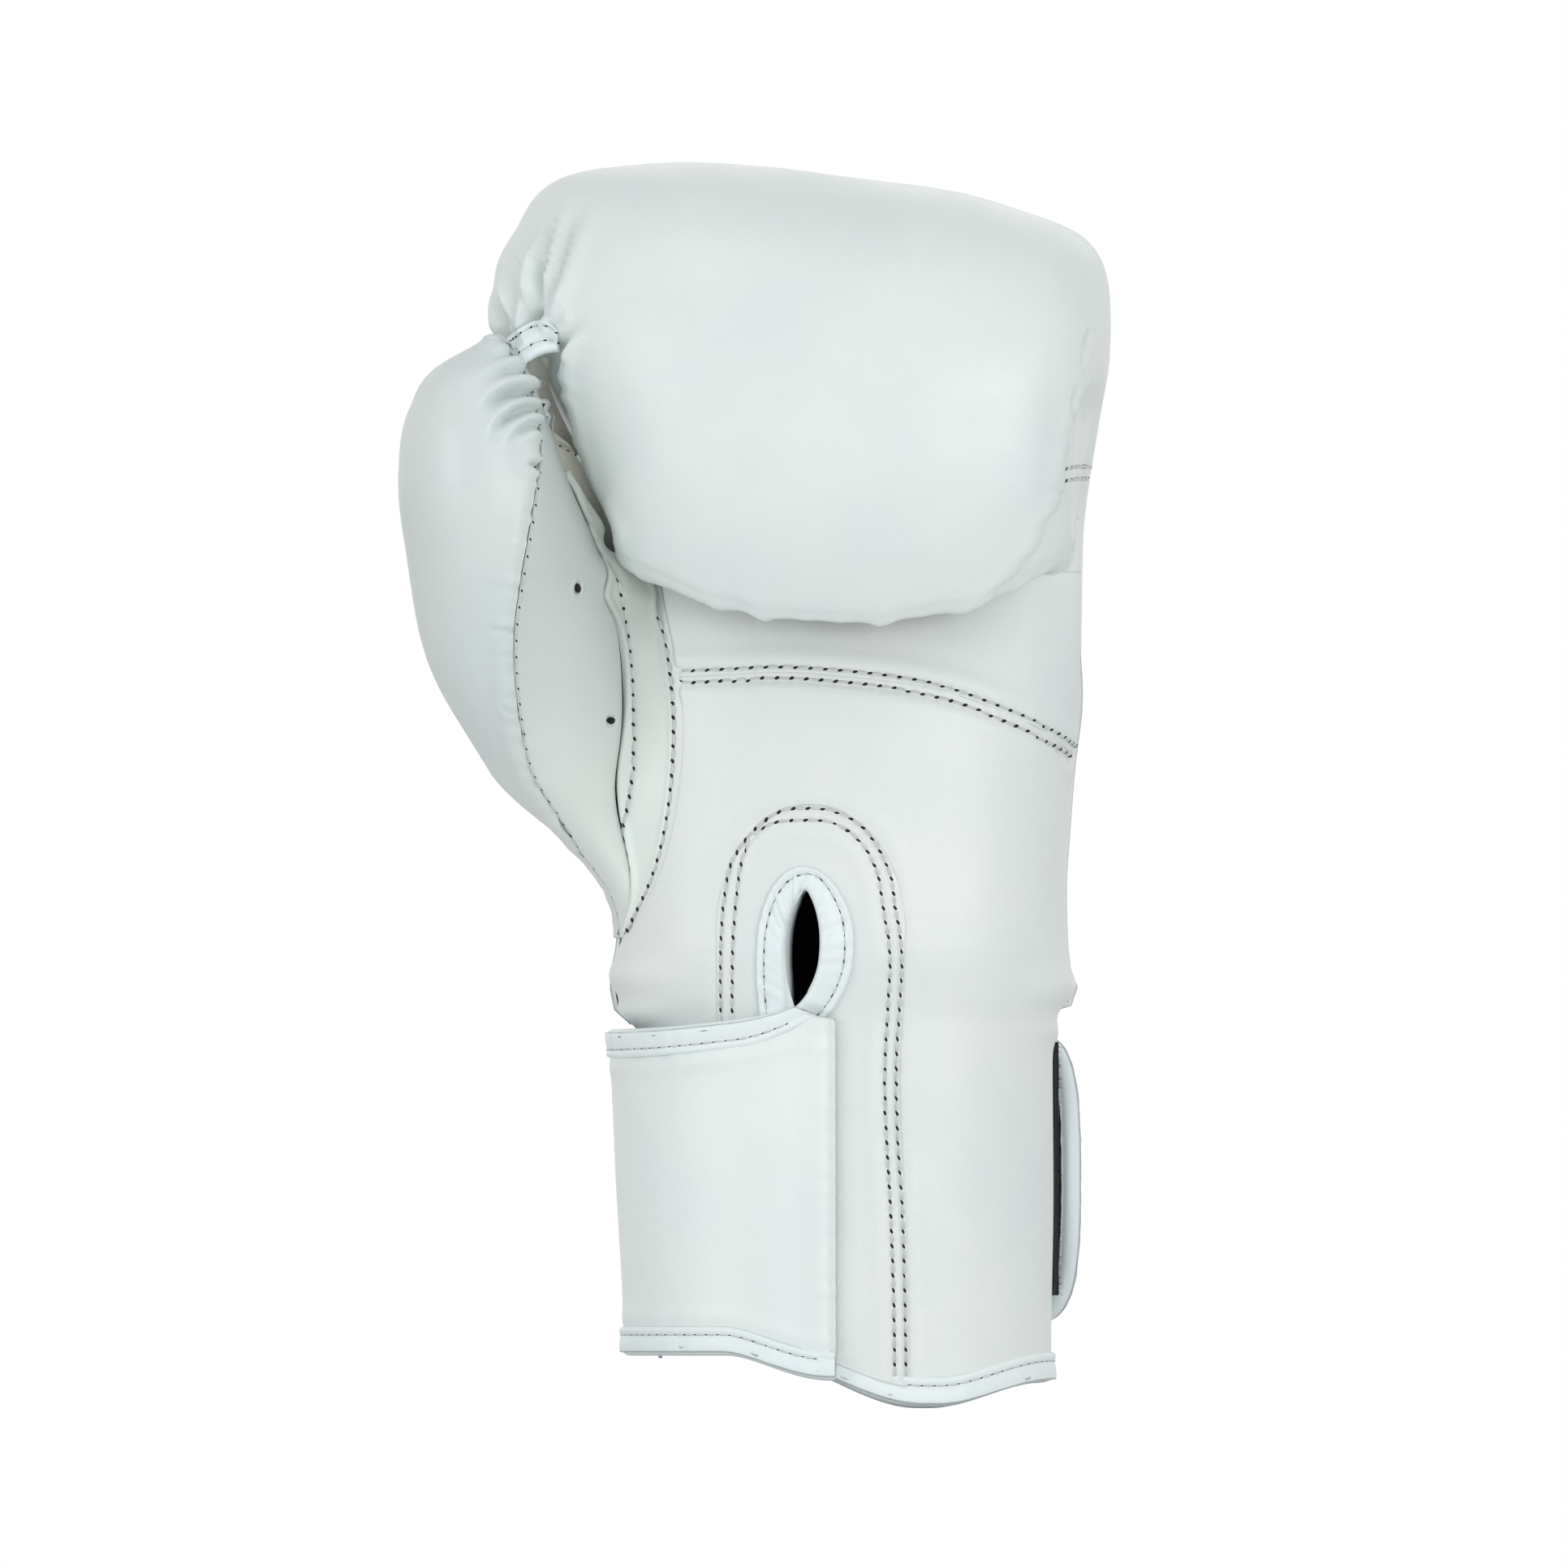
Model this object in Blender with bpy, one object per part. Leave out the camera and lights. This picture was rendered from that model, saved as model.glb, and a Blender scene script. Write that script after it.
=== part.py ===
"""A boxing glove for the left hand, with a hook-and-loop cuff, standing upright on its wrist.

The palm faces -Y, the little finger is at +X, the thumb at -X and the knuckles at +Z. The origin is
the middle of the hand opening, level with the lowest point of the cuff. Sizes are in millimetres, and
solid_from() turns them into metres.

Every layer is a closed solid between two depths under one of four shared surfaces: the curled pad,
the hand and cuff tube, the thumb and the strap.
"""

import bmesh
import bpy
import numpy as np
from mathutils import Vector

MM = 0.001

# Stock
LEATHER = 1.4
LINING = 1.0
BINDING = 1.0
TAPE = 1.2
SEAT = 0.4  # clearance between pieces that lie on each other
SEAM_GAP = 0.5  # clearance between the edges of two pieces sewn side by side

# Cuff
CUFF_HALF_WIDTH = 50.0
CUFF_HALF_DEPTH = 37.5
CUFF_TOP = 92.0
CUFF_EDGE_RISE = 13.0  # how far the thumb side of the cuff edge lies above the little-finger side
CUFF_FOAM = 4.5
CUFF_BINDING_WIDTH = 8.0
CUFF_FLARE = 20.0  # height over which the cuff widens into the hand
CUFF_EDGE_LIFT = 6.0  # how far the cuff edge rises again at the little-finger side
CUFF_THUMB_INSET = 1.2  # how much narrower the cuff's top is on the thumb side
CUFF_TAPER = 4.4  # how much more it narrows there on the way down to its edge

# Hand
HAND_HALF_WIDTH_THUMB = 56.0
HAND_HALF_WIDTH_LITTLE = 58.4
HAND_SPREAD_THUMB = 1.5  # how much narrower the hand is at the wrist than at the knuckles
HAND_SPREAD_LITTLE = 4.6
WRIST_ROLL = 1.8  # how far the padding bulges just above the cuff
WRIST_ROLL_AT = 99.0
WRIST_ROLL_SPREAD = 8.0
HAND_PALM_DEPTH = 40.0
PALM_TUCK = 8.0  # how far the palm draws in behind the curled pad
PALM_TOP = 201.0
PALM_FOAM = 3.0
GRIP_RADIUS = 8.0
GRIP_HALF_LENGTH = 34.0
GRIP_SEAT = 0.2
GRIP_FULLNESS = 6  # how squarely the bar's ends are rounded off
SIDE_LIP = 0.8  # degrees of the tube left open at each side seam
PALM_SEAM = 178.0
PALM_SEAM_DROP = 20.0
TUBE_POWER = 2.4
ANGLE_STEP = 10.0  # facets round the tube and the strap

# Curled knuckle pad
PAD_BOTTOM = 93.5
PAD_BACK_AT_WRIST = 40.0
FIST_MIDDLE_Y = -7.0
FIST_MIDDLE_Z = 235.0
FIST_HALF_DEPTH = 61.0
FIST_HALF_HEIGHT = 64.8
FIST_POWER = 2.4
POCKET_MIDDLE_Z = 227.0
POCKET_HALF_DEPTH = 27.0
POCKET_HALF_HEIGHT = 29.0
PAD_AT_WRIST = 8.0  # thickness of the whole pad where it starts
HEM_THICKNESS = 6.0
HEM_ANGLE = 225.0  # how far round the fist the hem lies, from straight back
HEM_LIFT = 26.0  # how much sooner the hem comes at the sides
CORE_Y = -18.0  # the line about which the pad fans out at both flanks
CORE_Z = 204.0
CORE_RADIUS = 4.0
FLANK_BULGE_THUMB = 28.5
FLANK_BULGE_LITTLE = 5.8
CROWN_SQUARE_THUMB = 0.35  # how much squarer the crown's shoulder is than the tube
CROWN_SQUARE_LITTLE = 2.2
CROWN_SLOPE = 0.13
CROWN_CREST_X = -28.0
FLANK_PAD = 12.0  # thickness of the pad at the core
FLANK_SWELL = 8.0  # how much thicker it is at the widest point
WIDEST_CURL = 82.0  # how far round the curl the fist is widest
TOP_CURL = 90.0  # how far round it the knuckles' crown is
FOLD_HEIGHT = 0.56  # height at which the crown's sides turn in toward the core
PAD_EDGE = 0.996  # share of the half-width that the pad's own layers reach
BACK_SHARE = 0.36  # share of the pad's rows that lie on the back of the hand
PAD_ROWS = 17
PAD_COLUMNS = 15

# Entry slit
SLIT_X = -9.3
SLIT_TOP = 124.5
SLIT_FOOT = 96.5
SLIT_WIDTH = 7.0
SLIT_CHANNEL = 4.0
SLIT_BAND = 7.0
FACING_LEFT = -29.5
FACING_RIGHT = 13.5
FACING_TOP = 144.0
FACING_ARCH = 30.0
FACING_SEAT = 0.6

# Thumb
THUMB_FOOT = 113.0
THUMB_TOP = 256.5
THUMB_FOAM = 7.0
THUMB_FOAM_FOOT = 158.0
THUMB_FOAM_TOP = 242.0
THUMB_SEAT = 0.8  # gap between the thumb's leather, whose facets run askew, and its padding
THUMB_ROWS = 17
THUMB_PAD_SHARE = 0.62  # how far round the thumb its padding reaches, from the back of the hand
FOLD_SHARE = 0.86  # where the inner panel meets the gusset
THUMB_SEAM = 0.004  # half of the gap at the thumb's seams, as a share of the way round
GUSSET_TOP = 193.0
GUSSET_GAP = 1.0
WEB_ON_THUMB = 0.06  # where round the thumb the web to the fist is sewn
WEB_FOOT = 205.0
WEB_TOP = 243.0
WEB_SEAT = 1.0  # gap beside the thumb, whose wall leans
WEB_FLANK_GAP = 1.0
LOCK_ON_THUMB = 0.88  # where round the thumb the lock is sewn
LOCK_ON_FIST = -0.70  # where across the pad
LOCK_FIST_FOOT = 0.805  # where along the pad, at the tab's two edges
LOCK_FIST_TOP = 0.781
LOCK_FOOT = 245.5
LOCK_WIDTH = 7.5
LOCK_THICKNESS = 1.6
LOCK_SEAT = 0.9

# Strap
STRAP_SEAM_X = -1.5
STRAP_FOOT = 12.6
STRAP_SEAM_DIP = 6.0  # how much lower the strap's foot lies at its sewn end
STRAP_END_RISE = 7.0  # how much higher it lies at its free end
STRAP_TOP = 91.0
STRAP_BINDING_WIDTH = 7.0
STRAP_BEND_ANGLE = 126.0
STRAP_END_ANGLE = 8.0
STRAP_CORNER = 22.0
TAPE_INSET = 9.5
TAPE_LENGTH = 90.0
TAPE_OFFSET = 16.0  # of the hook tape from the strap's free end
LOOP_REACH = 5.5  # how far the loop tape shows beyond the strap's free end
LOOP_TOP = 88.0
LOOP_INSET = 7.5

# Standoffs of the strap's layers from the cuff
FACING_THICKNESS = 1.0
STRAP_SEAT = 0.8
STRAP_INNER = FACING_SEAT + FACING_THICKNESS + STRAP_SEAT
STRAP_LINING_AT = STRAP_INNER + BINDING + SEAT
STRAP_PANEL_AT = STRAP_LINING_AT + LINING + SEAT
STRAP_OUTER = STRAP_PANEL_AT + LEATHER + SEAT + BINDING


def smooth(value, start, end):
    """0 below start, 1 above end, and an even S between."""
    t = np.clip((value - start) / (end - start), 0.0, 1.0)
    return t * t * (3.0 - 2.0 * t)


def through(value, knots):
    """A smooth curve through (position, value) knots."""
    x = np.array([knot[0] for knot in knots], float)
    y = np.array([knot[1] for knot in knots], float)
    slope = np.gradient(y, x)
    value = np.clip(np.asarray(value, float), x[0], x[-1])
    i = np.clip(np.searchsorted(x, value) - 1, 0, len(x) - 2)
    width = x[i + 1] - x[i]
    t = (value - x[i]) / width
    rise = (1 - t) ** 2 * (1 + 2 * t) * y[i] + t * t * (3 - 2 * t) * y[i + 1]
    return rise + width * t * (1 - t) * ((1 - t) * slope[i] - t * slope[i + 1])


def signed_power(value, power):
    return np.sign(value) * np.abs(value) ** power


def xyz(x, y, z):
    return np.stack(np.broadcast_arrays(x, y, z), axis=-1)


# ---------------------------------------------------------------- building solids


def material(name, colour, roughness):
    found = bpy.data.materials.get(name)
    if found:
        return found
    made = bpy.data.materials.new(name)
    made.use_nodes = True
    shader = made.node_tree.nodes["Principled BSDF"]
    shader.inputs["Base Color"].default_value = (*colour, 1.0)
    shader.inputs["Roughness"].default_value = roughness
    made.diffuse_color = (*colour, 1.0)
    return made


def white_leather():
    return material("white_leather", (0.73, 0.78, 0.77), 0.42)


def grey_leather():
    return material("grey_leather", (0.56, 0.59, 0.57), 0.55)


def binding_leather():
    return material("binding_leather", (0.86, 0.89, 0.91), 0.38)


def lining_cloth():
    return material("lining_cloth", (0.42, 0.42, 0.38), 0.9)


def foam():
    return material("foam", (0.80, 0.78, 0.66), 0.95)


def black_tape():
    return material("black_tape", (0.02, 0.02, 0.022), 0.9)


def solid_from(name, points, faces, surface):
    """An object from points in millimetres, with every face turned outward."""
    mesh = bpy.data.meshes.new(name)
    mesh.from_pydata((np.asarray(points) * MM).tolist(), [], faces)
    shape = bmesh.new()
    shape.from_mesh(mesh)
    bmesh.ops.recalc_face_normals(shape, faces=shape.faces)
    if shape.calc_volume(signed=True) < 0:
        bmesh.ops.reverse_faces(shape, faces=shape.faces)
    shape.to_mesh(mesh)
    shape.free()
    mesh.materials.append(surface)
    mesh.shade_smooth()
    mesh.set_sharp_from_angle(angle=np.radians(50))
    made = bpy.data.objects.new(name, mesh)
    bpy.context.scene.collection.objects.link(made)
    return made


def layer(name, outside, inside, surface, closed=False):
    """A closed solid between two grids of points, each (rows, columns, 3)."""
    rows, columns = outside.shape[:2]
    points = np.concatenate([outside.reshape(-1, 3), inside.reshape(-1, 3)])
    top = np.arange(rows * columns).reshape(rows, columns)
    under = top + rows * columns
    faces = []

    def side(a, b, c, d):
        faces.extend([(int(a), int(b), int(c)), (int(a), int(c), int(d))])

    last = columns if closed else columns - 1
    for row in range(rows - 1):
        for column in range(last):
            beside = (column + 1) % columns
            for grid in (top, under):
                side(grid[row, column], grid[row, beside], grid[row + 1, beside], grid[row + 1, column])
    for row in (0, rows - 1):
        for column in range(last):
            beside = (column + 1) % columns
            side(top[row, column], top[row, beside], under[row, beside], under[row, column])
    for column in () if closed else (0, columns - 1):
        for row in range(rows - 1):
            side(top[row, column], top[row + 1, column], under[row + 1, column], under[row, column])
    return solid_from(name, points, faces, surface)


def swept(name, rings, surface, closed=False):
    """A bar through rings of points, (stations, corners, 3), capped at both ends unless closed."""
    stations, corners = rings.shape[:2]
    index = np.arange(stations * corners).reshape(stations, corners)
    faces = []
    for station in range(stations if closed else stations - 1):
        here, there = index[station], index[(station + 1) % stations]
        for corner in range(corners):
            beside = (corner + 1) % corners
            faces.append((int(here[corner]), int(here[beside]), int(there[beside]), int(there[corner])))
    if not closed:
        faces.append(tuple(int(i) for i in index[0]))
        faces.append(tuple(int(i) for i in index[-1]))
    return solid_from(name, rings.reshape(-1, 3), faces, surface)


def cut(target, cutter):
    modifier = target.modifiers.new(cutter.name, "BOOLEAN")
    modifier.object = cutter
    modifier.operation = "DIFFERENCE"


def as_cutter(obj):
    obj.hide_render = True
    obj.display_type = "WIRE"
    return obj


# ---------------------------------------------------------------- hand and cuff tube


def core_height(z):
    """The middle line of the hand leans toward the palm as it nears the core of the curl."""
    return CORE_Y * smooth(z, FIST_MIDDLE_Z - 85.0, CORE_Z)


def tube_half_width(z, thumb_side):
    hand = np.where(thumb_side, HAND_HALF_WIDTH_THUMB, HAND_HALF_WIDTH_LITTLE)
    spread = np.where(thumb_side, HAND_SPREAD_THUMB, HAND_SPREAD_LITTLE)
    hand = hand - spread * (1.0 - smooth(z, CUFF_TOP + 8.0, CORE_Z - 19.0))
    narrowing = CUFF_THUMB_INSET + CUFF_TAPER * (1.0 - np.clip(z / CUFF_TOP, 0.0, 1.0))
    cuff = CUFF_HALF_WIDTH - np.where(thumb_side, narrowing, 0.0)
    flare = smooth(z, CUFF_TOP, CUFF_TOP + CUFF_FLARE)
    roll = WRIST_ROLL * np.exp(-(((z - WRIST_ROLL_AT) / WRIST_ROLL_SPREAD) ** 2))
    roll = roll * smooth(z, CUFF_TOP, WRIST_ROLL_AT)
    return cuff + (hand - cuff) * flare + roll


def tube_half_depth(z):
    swell = (HAND_PALM_DEPTH - CUFF_HALF_DEPTH) * smooth(z, CUFF_TOP, CUFF_TOP + CUFF_FLARE)
    tuck = PALM_TUCK * smooth(z, FIST_MIDDLE_Z - 75.0, CORE_Z)
    return CUFF_HALF_DEPTH + swell - tuck + core_height(z)


def tube(angle, z, depth=0.0):
    """A point of the hand and cuff tube: angle in degrees from the little-finger side, over the back."""
    angle, z, depth = np.broadcast_arrays(*(np.asarray(a, float) for a in (angle, z, depth)))
    cosine, sine = np.cos(np.radians(angle)), np.sin(np.radians(angle))
    across = tube_half_width(z, cosine < 0) - depth
    along = tube_half_depth(z) - depth
    power = 2 / TUBE_POWER
    return xyz(across * signed_power(cosine, power), core_height(z) + along * signed_power(sine, power), z)


def palm_angle(x, z):
    """The tube angle of the point of the palm side at this x."""
    across = tube_half_width(z, np.asarray(x) < 0)
    cosine = signed_power(np.clip(x / across, -1, 1), TUBE_POWER / 2)
    return 360.0 - np.degrees(np.arccos(cosine))


def cuff_edge(angle):
    """Height of the cuff's edge: high at the thumb side, lowest beyond the middle, then up a little."""
    x = tube(angle, 0.0)[..., 0]
    rise = CUFF_EDGE_RISE * (1.0 - smooth(x, -0.5 * CUFF_HALF_WIDTH, 0.38 * CUFF_HALF_WIDTH))
    return rise + CUFF_EDGE_LIFT * smooth(x, 0.45 * CUFF_HALF_WIDTH, CUFF_HALF_WIDTH)


def palm_seam(x):
    """Height of the arc seam that joins the two palm panels."""
    return PALM_SEAM - PALM_SEAM_DROP * (np.clip(x + 20.0, 0.0, None) / 76.0) ** 2


def palm_edge(z):
    """Tube angle of the palm's edge: the side of the hand, or the gusset beside the thumb."""
    gusset_x = through(z, [(THUMB_FOOT, -52.5), (128, -45.0), (145, -41.0), (166, -39.6), (PALM_TOP, -45.0)])
    at_side = 180.0 + SIDE_LIP
    opened = smooth(z, THUMB_FOOT - 8.0, THUMB_FOOT + 1.0)
    return at_side + (palm_angle(gusset_x, z) - at_side) * opened


def tube_layer(name, angles, heights, depth, thickness, surface, closed=False):
    outside = tube(angles, heights, depth)
    inside = tube(angles, heights, depth + thickness)
    return layer(name, outside, inside, surface, closed)


def between(start, end, count):
    """Rows from start to end, where either may vary along the row."""
    share = np.linspace(0.0, 1.0, count)[:, None]
    return np.asarray(start) * (1 - share) + np.asarray(end) * share


LITTLE_SIDE = 360.0 - SIDE_LIP
SLIT_ANGLE = float(palm_angle(SLIT_X, CUFF_TOP))
WALL = LEATHER + SEAT + CUFF_FOAM + SEAT + LINING
PALM_WALL = LEATHER + SEAT + PALM_FOAM + SEAT + LINING


def palm_grid(foot=None, rows=10, columns=16):
    """Angles and heights over the palm. With a foot, a first row runs along the cuff's edge."""
    share = np.linspace(0.0, 1.0, columns)[None, :]
    heights = np.linspace(CUFF_TOP + SEAM_GAP, PALM_TOP, rows)[:, None] + 0.0 * share
    left = palm_edge(heights)
    angles = left + (LITTLE_SIDE - left) * share
    if foot is not None:
        heights = np.concatenate([foot(angles[:1]), heights])
        angles = np.concatenate([angles[:1], angles])
    return angles, heights


def seam_cutter(name, far, gap):
    """Everything on one side of the arc seam: up to the height called far, or down to it."""
    x = np.linspace(-1.3 * HAND_HALF_WIDTH_THUMB, 1.3 * HAND_HALF_WIDTH_LITTLE, 15)
    outline_x = np.concatenate([x, x[::-1]])
    outline_z = np.concatenate([palm_seam(x) + gap, np.full(x.shape, far)])
    front = xyz(outline_x, -2.0 * CUFF_HALF_DEPTH, outline_z)
    back = xyz(outline_x, 0.5 * CUFF_HALF_DEPTH, outline_z)
    return as_cutter(swept(name, np.stack([front, back]), white_leather()))


def slit_cutter():
    """A lens, and below it a channel down to the cuff's edge, through the palm wall."""
    foot = -20.0
    z = np.linspace(SLIT_FOOT, SLIT_TOP, 9)
    share = (z - SLIT_FOOT) / (SLIT_TOP - SLIT_FOOT)
    lens = 0.5 * SLIT_WIDTH * np.sin(np.pi * np.clip(share, 0.03, 0.99)) ** 0.8
    half = np.where(share < 0.5, np.maximum(lens, 0.5 * SLIT_CHANNEL), lens)
    z = np.concatenate([[foot], z])
    half = np.concatenate([[0.5 * SLIT_CHANNEL], half])
    outline_x = np.concatenate([SLIT_X + half, (SLIT_X - half)[::-1]])
    outline_z = np.concatenate([z, z[::-1]])
    front = xyz(outline_x, -2.0 * CUFF_HALF_DEPTH, outline_z)
    back = xyz(outline_x, -0.3 * CUFF_HALF_DEPTH, outline_z)
    return as_cutter(swept("slit_cutter", np.stack([front, back]), white_leather()))


def make_palm(slit):
    whole = palm_grid()
    with_cuff = palm_grid(lambda angles: cuff_edge(angles) + BINDING + SEAT)
    lower = tube_layer("palm_lower_panel", *with_cuff, 0.0, LEATHER, white_leather())
    upper = tube_layer("palm_upper_panel", *whole, 0.0, LEATHER, white_leather())
    cut(lower, seam_cutter("above_seam", PALM_TOP + 20.0, -SEAM_GAP / 2))
    cut(upper, seam_cutter("below_seam", 0.5 * CUFF_TOP, SEAM_GAP / 2))
    padding = tube_layer("palm_foam", *whole, LEATHER + SEAT, PALM_FOAM, foam())
    cloth = tube_layer("palm_lining", *whole, PALM_WALL - LINING, LINING, lining_cloth())
    for piece in (lower, padding, cloth):
        cut(piece, slit)


def make_slit_trim(cutter):
    left, right = (float(palm_angle(x, 0.0)) for x in (FACING_LEFT, FACING_RIGHT))
    angles = np.unique(np.concatenate([ring_angles(left, right), ring_angles(left, right, 0.5)]))
    middle, half = (left + right) / 2, (right - left) / 2
    arch = np.sqrt(np.clip(1.0 - ((angles - middle) / half) ** 2, 0.0, 1.0))
    top = FACING_TOP - FACING_ARCH * (1.0 - arch)
    # A row at the cuff's top, where the tube starts to widen, keeps the facing off the strap.
    on_cuff = between(cuff_edge(angles) + CUFF_BINDING_WIDTH + SEAT, np.full(top.shape, CUFF_TOP), 3)
    z = np.concatenate([on_cuff[:-1], between(CUFF_TOP, top, 7)])
    facing = layer(
        "slit_facing",
        tube(angles, z, -FACING_SEAT - FACING_THICKNESS),
        tube(angles, z, -FACING_SEAT),
        white_leather(),
    )
    cut(facing, cutter)

    turn = np.linspace(0.0, 2 * np.pi, 25)[:-1]
    middle_z = (SLIT_FOOT + SLIT_TOP) / 2
    half_z = (SLIT_TOP - SLIT_FOOT) / 2

    def ring(grow):
        ring_x = SLIT_X + (0.5 * SLIT_WIDTH + grow) * np.cos(turn)
        ring_z = middle_z + (half_z + 0.75 * grow) * np.sin(turn)
        return ring_x, np.maximum(ring_z, STRAP_TOP + SEAT + 0.02 * (ring_z - STRAP_TOP))

    rows = [ring(SLIT_BAND * share) for share in (0.06, 0.4, 0.7, 1.0)]
    ring_x = np.array([row[0] for row in rows])
    ring_z = np.array([row[1] for row in rows])
    angles = palm_angle(ring_x, ring_z)
    under = -FACING_SEAT - FACING_THICKNESS - SEAT
    layer(
        "slit_binding",
        tube(angles, ring_z, under - 1.4 * BINDING),
        tube(angles, ring_z, under),
        binding_leather(),
        closed=True,
    )


def ring_angles(start, end, share=1.0):
    """Angles from start to end through the shared lattice, so that the facets of stacked layers line up."""
    step = share * ANGLE_STEP
    inner = np.arange(np.floor(start / step) + 1, np.ceil(end / step)) * step
    inner = inner[(inner - start > 0.2 * step) & (end - inner > 0.2 * step)]
    return np.concatenate([[start], inner, [end]])


def cuff_angles():
    """Angles right round the cuff from one lip of the slit to the other."""
    lip = np.degrees(0.5 * SLIT_CHANNEL / CUFF_HALF_WIDTH)
    return ring_angles(SLIT_ANGLE - 360.0 + lip, SLIT_ANGLE - lip)


def make_cuff():
    edge_allowance = BINDING + SEAT
    back = ring_angles(SIDE_LIP, 180.0 - SIDE_LIP)
    heights = between(cuff_edge(back) + edge_allowance, np.full(back.shape, CUFF_TOP), 4)
    tube_layer("cuff_back_panel", back, heights, 0.0, LEATHER, white_leather())

    around = cuff_angles()
    heights = between(cuff_edge(around) + edge_allowance, np.full(around.shape, CUFF_TOP), 4)
    tube_layer("cuff_foam", around, heights, LEATHER + SEAT, CUFF_FOAM, foam())
    tube_layer("cuff_lining", around, heights, WALL - LINING, LINING, lining_cloth())

    outline = u_section(-SEAT - BINDING, WALL + SEAT + BINDING, CUFF_BINDING_WIDTH)
    edge = cuff_edge(around)
    rings = np.stack([tube(around, edge + rise, depth) for depth, rise in outline], axis=1)
    swept("cuff_binding", rings, binding_leather())

    tape_layer("loop_tape", SEAT, -LOOP_REACH, LOOP_INSET, LOOP_TOP)


def u_section(outer, inner, width):
    """Corners of a binding folded over an edge, as (depth, distance from the edge)."""
    return [
        (outer, 0.0),
        (outer, width),
        (outer + BINDING, width),
        (outer + BINDING, BINDING),
        (inner - BINDING, BINDING),
        (inner - BINDING, width),
        (inner, width),
        (inner, 0.0),
    ]


# ---------------------------------------------------------------- strap


def strap_angle(travel):
    """The tube angle that lies this far round the strap, in millimetres from its free end."""
    angles = np.linspace(0.5, STRAP_BEND_ANGLE, 400)
    path = tube(angles, STRAP_FOOT, -STRAP_PANEL_AT)
    run = np.concatenate([[0.0], np.cumsum(np.linalg.norm(np.diff(path, axis=0), axis=1))])
    start = np.interp(STRAP_END_ANGLE, angles, run)
    return np.interp(start + travel, run, angles)


def strap_foot(angle):
    dip = STRAP_SEAM_DIP * smooth(angle, 240.0, 268.0)
    rise = STRAP_END_RISE * (1.0 - smooth(angle, 38.0, 112.0))
    return STRAP_FOOT - dip + rise


def tape_layer(name, standoff, offset, inset, top):
    """A strip of hook or loop tape, over the stretch where the strap end lies on the cuff."""
    start, end = (float(strap_angle(travel)) for travel in (offset, TAPE_OFFSET + TAPE_LENGTH))
    angles = ring_angles(start, end)
    foot = np.maximum(strap_foot(angles) + inset, cuff_edge(angles) + CUFF_BINDING_WIDTH + SEAT)
    heights = between(foot, np.full(angles.shape, top), 2)
    return tube_layer(name, angles, heights, -standoff - TAPE, TAPE, black_tape())


def strap_sheet(name, angles, standoff, thickness, surface, corner=0.0):
    """A strap layer between its bindings. With a corner, its free end is rounded."""
    inset = BINDING + SEAT
    travel = np.array([np.interp(a, strap_angle(TRAVELS), TRAVELS) for a in angles]) - inset
    nearness = np.clip(1.0 - travel / max(corner, 1e-6), 0.0, 1.0) if corner else 0.0 * angles
    cutback = corner * (1.0 - np.sqrt(1.0 - nearness**2))
    foot = strap_foot(angles) + inset + cutback
    top = STRAP_TOP - inset - cutback
    heights = between(foot, top, 2)
    return tube_layer(name, angles, heights, -standoff - thickness, thickness, surface)


TRAVELS = np.linspace(0.0, 140.0, 281)


def strap_edge(name, angles, at_top):
    outline = u_section(-STRAP_OUTER, -STRAP_INNER, STRAP_BINDING_WIDTH)
    inward = -1.0 if at_top else 1.0
    edge = np.full(angles.shape, STRAP_TOP) if at_top else strap_foot(angles)
    rings = np.stack([tube(angles, edge + inward * rise, depth) for depth, rise in outline], axis=1)
    return swept(name, rings, binding_leather())


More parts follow.
